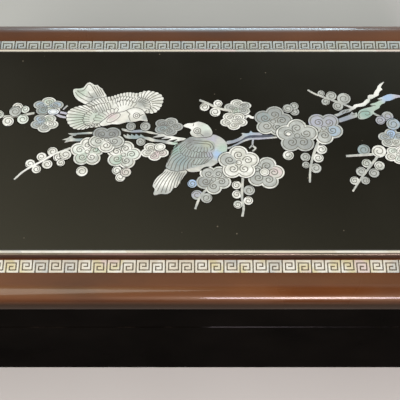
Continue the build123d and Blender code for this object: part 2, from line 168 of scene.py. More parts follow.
class Finish(Nodes):
    """One node material. Places are in millimetres."""

    def __init__(self, name):
        self.material = bpy.data.materials.new(name)
        self.material.use_nodes = True
        super().__init__(self.material.node_tree)
        self.surface = self.tree.nodes["Principled BSDF"]
        place = self.add("ShaderNodeTexCoord").outputs["Object"]
        self.mm = self.vector("SCALE", place, factor=1 / MM)

    def set(self, **inputs):
        """Inputs of the surface shader; an underscore stands for a space in their names."""
        for name, value in inputs.items():
            self.feed(self.surface.inputs[name.replace("_", " ")], value)

    def stretched(self, x, y, z):
        """Places multiplied along each axis, for grain that runs one way."""
        return self.vector("MULTIPLY", self.mm, (x, y, z))

    def noise(self, size, place=None, detail=2.0, roughness=0.5, distortion=0.0):
        """Noise from 0 to 1 whose blotches are about as many millimetres across as size."""
        node = self.add("ShaderNodeTexNoise")
        entries = {
            "Vector": place or self.mm, "Scale": 1 / size, "Detail": detail,
            "Roughness": roughness, "Distortion": distortion,
        }
        for name, value in entries.items():
            self.feed(node.inputs[name], value)
        return node.outputs["Fac"]

    def cells(self, size):
        """Distance to the nearest of scattered points about size millimetres apart."""
        node = self.add("ShaderNodeTexVoronoi")
        self.feed(node.inputs["Vector"], self.mm)
        self.feed(node.inputs["Scale"], 1 / size)
        return node.outputs["Distance"]

    def chance(self, value):
        """A number from 0 to 1 that is different for each whole value."""
        node = self.add("ShaderNodeTexWhiteNoise", noise_dimensions="1D")
        self.feed(node.inputs["W"], value)
        return node.outputs["Value"]

    def bump(self, height, strength, depth, under=None):
        """Bump whose full height is depth millimetres, on top of the one under it."""
        node = self.add("ShaderNodeBump")
        self.feed(node.inputs["Strength"], strength)
        self.feed(node.inputs["Distance"], depth * MM)
        self.feed(node.inputs["Height"], height)
        if under is not None:
            self.feed(node.inputs["Normal"], under)
        self.set(Normal=node.outputs[0])
        return node.outputs[0]

    def edge_distance(self, half_x, half_y):
        """How far a place lies inside a rectangle about the middle of the box, seen from above."""
        x, y, _ = self.parts(self.mm)
        from_x = self.maths("SUBTRACT", half_x, self.maths("ABSOLUTE", x))
        from_y = self.maths("SUBTRACT", half_y, self.maths("ABSOLUTE", y))
        return self.maths("MINIMUM", from_x, from_y)


def paint(red, green, blue):
    """Colour as seen on a screen, from 0 to 255, turned into the linear values of a shader."""
    linear = []
    for value in (red / 255, green / 255, blue / 255):
        linear.append(value / 12.92 if value <= 0.04045 else ((value + 0.055) / 1.055) ** 2.4)
    return (*linear, 1.0)


# Lacquer

BLACK = paint(5, 4, 3)
BLACK_WARM = paint(11, 9, 7)
DUST = paint(150, 140, 120)
# Dark maroon of the panel's sides: painted shade on their brown lacquer
PANEL_SIDE_SHADE = paint(52, 20, 12)
PANEL_SIDE_SHADE_DEEP = paint(36, 14, 9)
BROWN = paint(83, 42, 12)
BROWN_DARK = paint(68, 32, 9)
BROWN_LIGHT = paint(95, 51, 18)
# Painted shade at the foot of the rails' rounded edge
BROWN_FOOT_SHADE = paint(24, 8, 4)
CHANNEL = paint(104, 95, 80)
# Pale greys of the panel's rounded edge past the pearl line: a painted highlight on its brown
# lacquer
EDGE_HIGHLIGHT = paint(84, 76, 64)
EDGE_HIGHLIGHT_PALE = paint(118, 98, 92)
WORN = paint(128, 84, 56)
WORN_BLACK = paint(58, 50, 42)
PANEL_GLOSS = (1.0, 0.92, 0.66, 1.0)
RAIL_GLOSS = (1.0, 0.93, 0.64, 1.0)

worn_radius = 0.45

# The panel is brown past the pearl line, with a painted highlight, and on its sides, with painted
# shade. Where that starts, with soft limits
past_line = 0.25, 0.35
below_panel_top = 0.25, 0.4

# Depths below the top of the rails, between which painted shade darkens the lacquer and its polish
# fades
dark_from, dark_to = 1.5, 3.8
polish_from, polish_to = 2.2, 3.6

# Soft limits of the channel's dark colour, measured from the fret's sides and from its underside
beside_fret = 0.02, 0.06
below_fret = 0.05, 0.1

# The rails fall a little towards the rounded edge, in the bump alone. Distances from that edge
crown_start = 2.5
crown_end = 9.5
crown_height = 0.5


def lacquer(finish, colour, roughness, specular, under=None):
    """Brushed and rubbed lacquer: soft haze, hairline scratches and a hint of orange peel."""
    haze = finish.between(finish.noise(34, detail=3), 0.3, 0.7, 0.75, 1.4)
    scratches = finish.noise(1.0, finish.stretched(0.05, 1.6, 1.0), detail=3, roughness=0.7)
    scratched = finish.maths("MULTIPLY", finish.between(scratches, 0.62, 0.78), 0.06)
    rough = finish.maths("ADD", finish.maths("MULTIPLY", haze, roughness), scratched)
    finish.set(Base_Color=colour, Roughness=rough, IOR=1.5, Specular_IOR_Level=specular)
    peel = finish.noise(2.6, detail=1)
    relief = finish.maths("ADD", peel, finish.maths("MULTIPLY", scratches, 0.25))
    finish.bump(relief, strength=0.25, depth=0.012, under=under)


def worn_edges(finish, colour, bare):
    """Where the boards end, the lacquer has rubbed through here and there."""
    bevel = finish.add("ShaderNodeBevel", samples=4)
    finish.feed(bevel.inputs["Radius"], worn_radius * MM)
    normal = finish.add("ShaderNodeNewGeometry").outputs["Normal"]
    edge = finish.between(finish.vector("DOT_PRODUCT", bevel.outputs[0], normal), 0.99, 0.80)
    patchy = finish.between(finish.noise(5.5, detail=4, roughness=0.65), 0.54, 0.70)
    return finish.mix(finish.maths("MULTIPLY", edge, patchy), colour, bare)


def black_lacquer():
    finish = Finish("black_lacquer")
    tone = finish.between(finish.noise(26, detail=4), 0.35, 0.7)
    colour = worn_edges(finish, finish.mix(tone, BLACK, BLACK_WARM), WORN_BLACK)
    lacquer(finish, colour, roughness=0.2, specular=0.0)
    finish.set(Coat_Weight=0.03, Coat_Roughness=0.05)
    return finish.material


def panel_lacquer():
    """Black, but brown outside the pearl line, there with a painted highlight, and down the edge
    of the panel, there with painted shade.
    """
    finish = Finish("panel_lacquer")
    tone = finish.between(finish.noise(40, detail=4), 0.35, 0.7)
    dust = finish.between(finish.cells(7.0), 0.045, 0.02, 0, 0.35)
    dusty = finish.mix(dust, finish.mix(tone, BLACK, BLACK_WARM), DUST)
    inside = finish.edge_distance(panel_half_width, panel_half_depth)
    outer = finish.between(inside, line_inset + past_line[1], line_inset + past_line[0])
    # Painted highlight on the rounded edge, patchy between two pale greys
    rubbed = finish.between(finish.noise(22), 0.4, 0.65)
    edge = finish.mix(rubbed, EDGE_HIGHLIGHT, EDGE_HIGHLIGHT_PALE)
    _, _, height = finish.parts(finish.mm)
    side = finish.between(height, panel_top - below_panel_top[0], panel_top - below_panel_top[1])
    # Painted shade: the panel's sides turn dark maroon
    edge = finish.mix(side, edge, finish.mix(tone, PANEL_SIDE_SHADE_DEEP, PANEL_SIDE_SHADE))
    roughness = finish.between(side, 0, 1, 0.13, 0.6)
    lacquer(finish, finish.mix(outer, dusty, edge), roughness, specular=0.5)
    finish.set(Specular_Tint=PANEL_GLOSS)
    return finish.material


def brown_lacquer():
    """Brown rails of the lid, dark in the channel that holds the fret, with painted shade low on
    the rounded edge.
    """
    finish = Finish("brown_lacquer")
    tone = finish.noise(30, finish.stretched(0.6, 1.4, 1.4), detail=4)
    colour = finish.ramp(tone, [(0.3, BROWN_DARK), (0.5, BROWN), (0.75, BROWN_LIGHT)])
    colour = worn_edges(finish, colour, WORN)
    _, _, height = finish.parts(finish.mm)
    # Painted shade: the lacquer darkens towards the foot of the rounded edge
    foot = finish.between(height, rail_top - dark_from, rail_top - dark_to, 0.0, 0.95)
    colour = finish.mix(foot, colour, BROWN_FOOT_SHADE)
    inside = finish.edge_distance(half_width, half_depth)
    near, far = beside_fret
    past_start = finish.between(inside, channel_start - far, channel_start - near)
    before_end = finish.between(inside, channel_end + far, channel_end + near)
    high = finish.between(height, channel_floor - below_fret[1], channel_floor - below_fret[0])
    channel = finish.maths("MULTIPLY", finish.maths("MULTIPLY", past_start, before_end), high)
    crown = finish.between(inside, crown_start, crown_end, kind="SMOOTHSTEP")
    crowned = finish.bump(crown, strength=1.0, depth=crown_height)
    lacquer(finish, finish.mix(channel, colour, CHANNEL), 0.29, 0.33, crowned)
    polish = finish.between(height, rail_top - polish_to, rail_top - polish_from, 0.02, 0.36)
    finish.set(Specular_Tint=RAIL_GLOSS, Coat_Weight=polish, Coat_Roughness=0.07)
    return finish.material


# Pearl shell

WHITE = paint(236, 238, 230)
CREAM = paint(202, 204, 192)
SILVER = paint(163, 168, 162)
SILVER_PALE = paint(188, 193, 186)
PALE = paint(180, 186, 176)
GREY = paint(146, 152, 149)
SMOKE = paint(126, 129, 127)
TEAL = paint(142, 160, 160)
NIGHT = paint(40, 46, 66)
YELLOW_GREY = paint(174, 180, 160)
MINT = paint(206, 218, 206)
WING = paint(165, 178, 172)
BLUE = paint(160, 181, 196)
BLUE_GREY = paint(144, 153, 164)
SKY = paint(162, 190, 220)
SKY_PALE = paint(194, 212, 230)
LILAC = paint(168, 172, 184)
LILAC_PALE = paint(180, 180, 192)
PINK = paint(210, 196, 194)
JADE = paint(174, 196, 180)
JADE_PALE = paint(186, 200, 184)
GREEN = paint(144, 176, 164)
PEARL_WHITE = paint(222, 222, 210)
PEARL_CREAM = paint(208, 202, 182)
PEARL_YELLOW = paint(206, 198, 154)
PEARL_PINK = paint(212, 196, 188)
PEARL_GREY = paint(190, 192, 184)
PEARL_BLUE = paint(178, 190, 196)
LINE_SHADE = paint(38, 34, 28)
ENGRAVED = paint(78, 80, 74)
ENGRAVED_PALE = paint(98, 102, 94)
ENGRAVED_WARM = paint(104, 100, 86)
ENGRAVED_PALE_WARM = paint(132, 136, 120)
NIGHT_PALE = paint(66, 72, 88)

# Tints along the fret's bands, and those of the strips of the border line
FRET_TINTS = [
    (0.22, PEARL_BLUE), (0.36, PEARL_GREY), (0.47, PEARL_CREAM), (0.56, PEARL_WHITE),
    (0.66, PEARL_YELLOW), (0.76, PEARL_PINK), (0.88, PEARL_GREY),
]
LINE_TINTS = [(0.0, PEARL_CREAM), (0.35, PEARL_WHITE), (0.6, PEARL_GREY), (0.8, PEARL_PINK)]


def pearl_surface(finish, colour):
    """Gloss and fine growth lines that every piece of shell has."""
    growth = finish.noise(0.5, finish.stretched(0.25, 1.0, 1.0), detail=3, distortion=0.6)
    shade = finish.between(growth, 0.3, 0.75, 0.0, 0.22)
    finish.set(
        Base_Color=finish.mix(shade, colour, SMOKE),
        Roughness=finish.between(finish.noise(1.5), 0.3, 0.7, 0.24, 0.42),
        Specular_IOR_Level=0.5,
        Coat_Weight=0.25,
        Coat_Roughness=0.12,
    )
    finish.bump(growth, strength=0.35, depth=0.015)


def shell(name, main, other, patches=()):
    """Shell of one tint that drifts towards another one, as pearl does across a piece.

    Patches are soft spots of other tints, given as (x, y, reach, tint)."""
    finish = Finish(name)
    drift = finish.between(finish.noise(2.8, distortion=0.8), 0.38, 0.66)
    colour = finish.mix(drift, main, other)
    for x, y, reach, tint in patches:
        away = finish.vector("SUBTRACT", finish.mm, (x, y, 0))
        away = finish.vector("LENGTH", finish.vector("MULTIPLY", away, (1, 1, 0)))
        colour = finish.mix(finish.between(away, reach, 0.3 * reach), colour, tint)
    pearl_surface(finish, colour)
    return finish.material


def fret_shell(axis):
    """Shell of the fret: the tint drifts along the band and differs a little from key to key."""
    finish = Finish("fret_pearl_" + axis)
    x, y, _ = finish.parts(finish.mm)
    key = finish.maths("FLOOR", finish.maths("DIVIDE", x if axis == "x" else y, key_pitch))
    own = finish.maths("MULTIPLY", finish.chance(key), 0.25)
    band = finish.maths("MULTIPLY", finish.noise(13, finish.stretched(1.0, 1.0, 0.0)), 0.85)
    tint = finish.ramp(finish.maths("ADD", own, band), FRET_TINTS)
    cool = finish.between(y, 0.2 * half_depth, 0.8 * half_depth, 0.0, 0.7)
    tint = finish.mix(cool, tint, PEARL_BLUE)
    drift = finish.between(finish.noise(2.2), 0.4, 0.65, 0.0, 0.35)
    pearl_surface(finish, finish.mix(drift, tint, PEARL_CREAM))
    return finish.material


def line_shell():
    """Shell of the border line, cut from short strips, with a dark inner edge."""
    finish = Finish("pearl_line")
    x, y, _ = finish.parts(finish.mm)
    strip = finish.maths("FLOOR", finish.maths("DIVIDE", finish.maths("ADD", x, y), strip_length))
    tint = finish.ramp(finish.chance(strip), LINE_TINTS, kind="CONSTANT")
    drift = finish.between(finish.noise(4.0), 0.35, 0.65, 0.0, 0.6)
    tint = finish.mix(drift, tint, PEARL_CREAM)
    inside = finish.edge_distance(panel_half_width, panel_half_depth)
    shade_from = line_inset + line_dark_from * line_broad
    shade_to = line_inset + line_dark_to * line_broad
    shade = finish.between(inside, shade_from, shade_to, 0.0, 0.95)
    pearl_surface(finish, finish.mix(shade, tint, LINE_SHADE))
    return finish.material


def engraved(name, colour, other):
    """Dark lacquer rubbed into the engraved lines."""
    finish = Finish(name)
    tone = finish.between(finish.noise(1.2), 0.35, 0.65)
    finish.set(Base_Color=finish.mix(tone, colour, other), Roughness=0.5)
    return finish.material


# Each plain shell has a tint of its own and one that it drifts to
shells = {}
for tint, main, other in (
    ("cream", CREAM, WHITE), ("white", WHITE, CREAM), ("silver", SILVER, SILVER_PALE),
    ("grey", GREY, SILVER), ("smoke", SMOKE, GREY), ("teal", TEAL, GREY),
    ("blue", BLUE, SILVER), ("sky", SKY, BLUE), ("pale_sky", SKY_PALE, WHITE),
    ("pale", PALE, WHITE), ("lilac", LILAC, SILVER), ("pink", PINK, CREAM),
    ("jade", JADE, CREAM), ("mint", MINT, WHITE),
):
    shells[tint] = shell("pearl_" + tint, main, other)
line_material = engraved("engraved_line", ENGRAVED, ENGRAVED_WARM)
pale_line_material = engraved("engraved_pale_line", ENGRAVED_PALE, ENGRAVED_PALE_WARM)
ground_material = black_lacquer()


# Brass and wood

BRASS = paint(196, 158, 84)
BRASS_TARNISH = paint(118, 88, 46)
CEDAR = paint(160, 104, 64)
CEDAR_DARK = paint(122, 72, 42)
CEDAR_LIGHT = paint(186, 132, 88)
CEDAR_PORE = paint(84, 46, 26)


def brass():
    """Brass with tarnish in patches, brushed along X."""
    finish = Finish("brass")
    tarnish = finish.between(finish.noise(3.5, detail=5, roughness=0.65), 0.4, 0.68)
    finish.set(
        Base_Color=finish.mix(tarnish, BRASS, BRASS_TARNISH),
        Metallic=1.0,
        Roughness=finish.between(tarnish, 0, 1, 0.24, 0.5),
    )
    brushed = finish.noise(0.25, finish.stretched(0.08, 1.0, 1.0))
    finish.bump(brushed, strength=0.3, depth=0.01)
    return finish.material


def cedar(name, *stretch):
    """Cedar whose grain runs along the axis with the smallest of the three factors."""
    finish = Finish(name)
    run = finish.stretched(*stretch)
    figure = finish.noise(7.0, run, detail=5, roughness=0.6, distortion=1.4)
    colour = finish.ramp(figure, [(0.3, CEDAR_DARK), (0.5, CEDAR), (0.72, CEDAR_LIGHT)])
    pores = finish.noise(0.55, run, roughness=0.6)
    pore_mask = finish.between(pores, 0.6, 0.72, 0.0, 0.55)
    finish.set(
        Base_Color=finish.mix(pore_mask, colour, CEDAR_PORE),
        Roughness=finish.between(figure, 0.3, 0.7, 0.52, 0.7),
    )
    finish.bump(pores, strength=0.4, depth=0.05)
    return finish.material


# Materials of the solid parts

def dress(material, *names):
    for name in names:
        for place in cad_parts[name].material_slots:
            place.material = material


sides = ("front", "back", "left", "right")
dress(ground_material, *["base_" + side + "_wall" for side in sides])
dress(ground_material, *["lid_" + side + "_skirt" for side in sides])
dress(brown_lacquer(), *["lid_" + side + "_rail" for side in sides])
dress(panel_lacquer(), "lid_panel")
dress(fret_shell("x"), "fret_front", "fret_back")
dress(fret_shell("y"), "fret_left", "fret_right")
dress(line_shell(), "pearl_line")
dress(cedar("cedar_along_x", 0.07, 1.0, 1.0), "liner_front", "liner_back", "base_bottom_board")
dress(cedar("cedar_along_y", 1.0, 0.07, 1.0), "liner_left", "liner_right", "divider")
brass_material = brass()
dress(brass_material, "hinge_base_screws", "hinge_lid_screws")
for place in ("left", "right"):
    for piece in ("base_leaf", "lid_leaf", "pin"):
        dress(brass_material, "hinge_" + place + "_" + piece)


# Picture: sizes of shells and engraved lines, in millimetres

layer_foot = 0.10
layer_step = 0.035
shell_edge = 0.035
ground_gap = 0.22
ground_drop = 0.02
line_width = 0.26
line_rise = 0.012
line_depth = 0.03

# The line of a flower lies this far inside its edge, and is finer on flowers under this radius
contour_inset = 0.72
full_line_radius = 6.4

# Sizes as shares of the radius of the flower or bud
petal_reach = 0.54
petal_size = 0.46
curl_reach = 0.45
curl_size = 0.25
curl_middle = 0.05
heart_size = 0.13
bud_curl = 0.86
bud_curl_middle = 0.24

# Petals of a flower, and points along the edge of each
petal_count = 5
petal_steps = 12

# Turns of the curls, how far their starts swing, in radians, and how oval a flower may be
curl_turns = 1.5
bud_turns = 1.4
curl_swing = 0.6
most_lean = 0.03

# Widths of some lines as shares of the usual one
curl_line = 1.2
ring_line = 0.6
hook_line = 0.85
patch_line = 0.8

# Ring on a bright spot, as shares of the spot's width and height. Smaller spots have none
ring_share = 0.68, 0.66
ringed_spot = 1.0

# Uneven width of a twig, as shares of its own width
twig_least, twig_most = 0.86, 1.1


def layer_top(layer):
    return layer_foot + layer * layer_step


# Picture: outlines

def lobed(x, y, reach, lobe, turn, lean):
    """Outline of a flower, the union of round petals. Lean makes it a little oval."""
    outline = []
    share = pi / petal_count
    for index in range(petal_count * petal_steps):
        off = -share + 2 * share * (index % petal_steps) / petal_steps
        angle = radians(turn) + 2 * share * (index // petal_steps) + off
        radius = reach * cos(off) + sqrt(max(lobe**2 - (reach * sin(off)) ** 2, 0))
        radius *= 1 + lean * cos(2 * angle)
        outline.append((x + radius * cos(angle), y + radius * sin(angle)))
    return outline


def oval(x, y, long_radius, short_radius, turn=0.0, steps=20):
    """Oval whose long axis is turned from X by turn, in degrees."""
    right, up = cos(radians(turn)), sin(radians(turn))
    outline = []
    for step in range(steps):
        angle = 2 * pi * step / steps
        u, v = long_radius * cos(angle), short_radius * sin(angle)
        outline.append((x + (u * right - v * up), y + (u * up + v * right)))
    return outline


def circle(x, y, radius, steps=16):
    return oval(x, y, radius, radius, steps=steps)


def spiral(x, y, outer, inner, turns, start, steps):
    """Points of a curl that winds in from its outer end."""
    points = []
    for step in range(steps + 1):
        share = step / steps
        radius = outer + (inner - outer) * share
        angle = start + 2 * pi * turns * share
        points.append((x + radius * cos(angle), y + radius * sin(angle)))
    return points


def nearby(points, index, closed):
    """Point at an index that may lie past either end."""
    count = len(points)
    return points[index % count] if closed else points[min(max(index, 0), count - 1)]


def smooth(points, steps=4, closed=True):
    """Curve through the points."""
    curve = []
    for index in range(len(points) if closed else len(points) - 1):
        around = [nearby(points, index + shift, closed) for shift in (-1, 0, 1, 2)]
        for step in range(steps):
            t = step / steps
            curve.append(
                tuple(
                    0.5 * (2 * b + (c - a) * t + (2 * a - 5 * b + 4 * c - d) * t**2
                           + (3 * b - a - 3 * c + d) * t**3)
                    for a, b, c, d in zip(*around)
                )
            )
    if not closed:
        curve.append(points[-1])
    return curve


def along(points, share):
    """Place and direction at a share of the way along a line of points."""
    lengths = [hypot(b[0] - a[0], b[1] - a[1]) for a, b in zip(points, points[1:])]
    rest = share * sum(lengths)
    for (a, b), length in zip(zip(points, points[1:]), lengths):
        if rest <= length or (a, b) == (points[-2], points[-1]):
            part = rest / length
            place = (a[0] + (b[0] - a[0]) * part, a[1] + (b[1] - a[1]) * part)
            return place, atan2(b[1] - a[1], b[0] - a[0])
        rest -= length


def shifted(points, distances, closed=True):
    """Points moved to the right of the way they run, which is outwards if anticlockwise."""
    moved = []
    for index, ((x, y), distance) in enumerate(zip(points, distances)):
        before = nearby(points, index - 1, closed)
        after = nearby(points, index + 1, closed)
        run = hypot(after[0] - before[0], after[1] - before[1]) or 1.0
        right = (after[1] - before[1]) / run, (before[0] - after[0]) / run
        moved.append((x + right[0] * distance, y + right[1] * distance))
    return moved


def anticlockwise(outline):
    area = sum(a[0] * b[1] - b[0] * a[1] for a, b in zip(outline, outline[1:] + outline[:1]))
    return outline if area > 0 else outline[::-1]


# Picture: pieces of shell

class Inlay:
    """Collects slabs of shell and engraved lines, and turns them into one piece."""

    def __init__(self):
        self.points = []
        self.faces = []
        self.face_slots = []
        self.materials = []

    def ring(self, outline, height):
        first = len(self.points)
        self.points += [(x * MM, y * MM, (panel_top + height) * MM) for x, y in outline]
        return list(range(first, first + len(outline)))

    def face(self, corners, material):
        if material not in self.materials:
            self.materials.append(material)
        self.faces.append(corners)
        self.face_slots.append(self.materials.index(material))

    def wall(self, low, high, material, closed=True):
        """Faces between two rings, or between two open rows of points."""
        for index in range(len(low) if closed else len(low) - 1):
            after = (index + 1) % len(low)
            self.face([low[index], low[after], high[after], high[index]], material)

    def slab(self, outline, material, top):
        """Flat piece of shell with an eased edge, which stands on the panel, without its top."""
        outline = anticlockwise(outline)
        foot = self.ring(outline, 0)
        shoulder = self.ring(outline, top - shell_edge)
        rim = self.ring(shifted(outline, [-shell_edge] * len(outline)), top)
        self.wall(foot, shoulder, material)
        self.face(foot[::-1], material)
        self.wall(shoulder, rim, material)
        return rim

    def plate(self, outline, material, top):
        """Slab whose top is one face."""
        self.face(self.slab(outline, material, top), material)

    def petals(self, outline, contour, middle, fields, rims, top):
        """Slab whose top is shared by the petals: a rim outside the contour and a field inside."""
        rim = self.slab(outline, rims[0], top)
        inner = self.ring(contour, top)
        centre = self.ring([middle], top)[0]
        count = len(inner)
        for index in range(count):
            after = (index + 1) % count
            petal = index * petal_count // count
            self.face([rim[index], rim[after], inner[after], inner[index]], rims[petal])
            self.face([centre, inner[index], inner[after]], fields[petal])

    def ground(self, outline, layer):
        """Dark ground round a piece, which parts it from the pieces beneath."""
        grown = shifted(anticlockwise(outline), [ground_gap] * len(outline))
        self.plate(grown, ground_material, layer_top(layer) - ground_drop)

    def lay(self, outline, material, layer, below=0):
        """Plate of shell with its ground, which may lie some layers below it."""
        self.ground(outline, layer - below)
        self.plate(outline, material, layer_top(layer))

    def line(self, points, layer, width=line_width, closed=False, material=line_material):
        """Engraved line, as a thin closed strip on the shell."""
        low_left, low_right, high_left, high_right = [
            self.ring(shifted(points, [side * width / 2] * len(points), closed), height)
            for height in (layer_top(layer) - line_depth, layer_top(layer) + line_rise)
            for side in (-1, 1)
        ]
        rows = [low_left, low_right, high_right, high_left]
        for first, second in zip(rows, rows[1:] + rows[:1]):
            self.wall(first, second, material, closed)
        if not closed:
            self.face([row[0] for row in rows], material)
            self.face([row[-1] for row in reversed(rows)], material)

    def stroke(self, points, layer):
        """Engraved line on a smooth curve through the points."""
        self.line(smooth(points, closed=False), layer)

    def finish(self, name, node):
        """Make the object, which rides on the lid and stands for the plain node."""
        mesh = bpy.data.meshes.new(name)
        mesh.from_pydata(self.points, [], self.faces)
        for material in self.materials:
            mesh.materials.append(material)
        mesh.polygons.foreach_set("material_index", self.face_slots)
        mesh.validate()
        mesh.update()
        piece = bpy.data.objects.new(name, mesh)
        bpy.context.scene.collection.objects.link(piece)
        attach(piece, "lid")
        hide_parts(node)


# Picture: flowers

# Tint of a petal's rim, where it differs from the petal's own
rim_tints = {
    "teal": "grey", "sky": "silver", "smoke": "grey", "grey": "silver", "silver": "pale",
    "cream": "white", "blue": "silver", "jade": "pale", "mint": "white", "pale": "cream",
    "pink": "white",
}


def blossom(inlay, x, y, radius, turn, squat, layer, tints):
    """Flower with a line inside its edge, a curl on each petal and a small heart.

    Squat is its height over its width, under 1 for one that is seen from the side."""
    lean = random.uniform(-most_lean, most_lean)
    fine = line_width * min(radius / full_line_radius, 1.0)

    def seen(points):
        return [(px, y + (py - y) * squat) for px, py in points]

    def rosette(inset):
        size = petal_size * radius - inset
        return seen(lobed(x, y, petal_reach * radius, size, turn, lean))

    outline, contour = rosette(0), rosette(contour_inset)
    fields = [shells[tint] for tint in tints]
    rims = [shells[rim_tints.get(tint, tint)] for tint in tints]
    inlay.ground(outline, layer)
    inlay.petals(outline, contour, (x, y), fields, rims, layer_top(layer))
    inlay.line(contour, layer, fine, closed=True)
    for petal in range(petal_count):
        angle = radians(turn) + 2 * pi * petal / petal_count
        cx = x + curl_reach * radius * cos(angle)
        cy = y + curl_reach * radius * sin(angle)
        start = angle + pi + random.uniform(-curl_swing, curl_swing)
        turns = random.choice((-curl_turns, curl_turns))
        curl = spiral(cx, cy, curl_size * radius, curl_middle * radius, turns, start, steps=18)
        inlay.line(seen(curl), layer, curl_line * fine)
    inlay.line(seen(circle(x, y, heart_size * radius, 12)), layer, fine, closed=True)


def bud(inlay, x, y, radius, layer, tint):
    """Round bud with a line that curls in from near its edge."""
    inlay.lay(circle(x, y, radius), shells[tint], layer)
    start = random.uniform(0, 2 * pi)
    turns = random.choice((-bud_turns, bud_turns))
    curl = spiral(x, y, bud_curl * radius, bud_curl_middle * radius, turns, start, steps=20)
    inlay.line(curl, layer)


# Blossoms are (x, y, half width, turn, squat, layer, tints of the petals from the turn onwards)
blossoms = [
    (-56.3, 16.2, 5.5, 90, 0.72, 1, ["jade", "blue", "teal", "jade", "blue"]),
    (-57.1, 9.2, 5.1, 54, 0.76, 2, ["jade", "blue", "blue", "silver", "pale"]),
    (-35.2, 2.4, 6.2, 54, 0.9, 2, ["smoke", "smoke", "pale", "cream", "silver"]),
    (-41.6, -2.7, 6.0, 18, 0.98, 1, ["jade", "cream", "mint", "jade", "pale"]),
    (-29.2, -3.9, 6.2, 5, 0.92, 1, ["mint", "pale", "cream", "jade", "pale"]),
    (-14.0, 7.7, 5.2, 70, 0.74, 1, ["grey", "smoke", "teal", "grey", "grey"]),
    (-18.5, -2.5, 4.9, 54, 0.78, 1, ["cream", "cream", "white", "pink", "pink"]),
    (10.4, 15.6, 5.0, 100, 0.72, 1, ["pale", "silver", "jade", "silver", "silver"]),
    (8.8, 10.1, 5.0, 54, 0.75, 2, ["white", "white", "cream", "cream", "white"]),
    (22.5, 9.9, 7.0, 80, 0.91, 1, ["grey", "teal", "silver", "silver", "grey"]),
    (30.6, 3.8, 7.4, 90, 0.96, 2, ["silver", "silver", "grey", "grey", "silver"]),
    (40.0, 7.0, 6.9, 54, 0.95, 1, ["lilac", "lilac", "silver", "silver", "blue"]),
    (10.2, -7.1, 7.2, 90, 0.95, 3, ["cream", "silver", "cream", "cream", "cream"]),
    (19.0, -11.2, 6.8, 5, 0.93, 1, ["pink", "silver", "silver", "silver", "silver"]),
    (1.6, -13.8, 6.1, 54, 0.95, 1, ["silver", "silver", "grey", "silver", "silver"]),
    (63.2, 2.9, 4.9, 20, 0.8, 1, ["blue", "sky", "blue", "silver", "pale"]),
    (64.8, -3.9, 4.7, 60, 0.82, 2, ["white", "mint", "white", "mint", "white"]),
]

# Bright spots that lie on the blossoms are (x, y, half width, half height, turn, tint). Those
# with a half width over ringed_spot carry a ring.
bright_spots = [
    (-54.4, 13.9, 2.0, 1.2, 0, "pale_sky"),
    (-16.7, -0.8, 1.9, 1.5, 10, "white"),
    (27.6, 4.6, 0.8, 0.7, 0, "white"),
    (18.9, -10.9, 1.6, 1.5, 0, "white"),
]
spot_layer = 4

flowers = Inlay()
for entry in blossoms:
    blossom(flowers, *entry)
for x, y, half_wide, half_high, turn, tint in bright_spots:
    spot = oval(x, y, half_wide, half_high, turn)
    flowers.lay(spot, shells[tint], spot_layer, below=1)
    if half_wide > ringed_spot:
        ring = oval(x, y, ring_share[0] * half_wide, ring_share[1] * half_high, turn)
        flowers.line(ring, spot_layer, ring_line * line_width, True, pale_line_material)
flowers.finish("picture_blossoms", "pearl_blossoms")

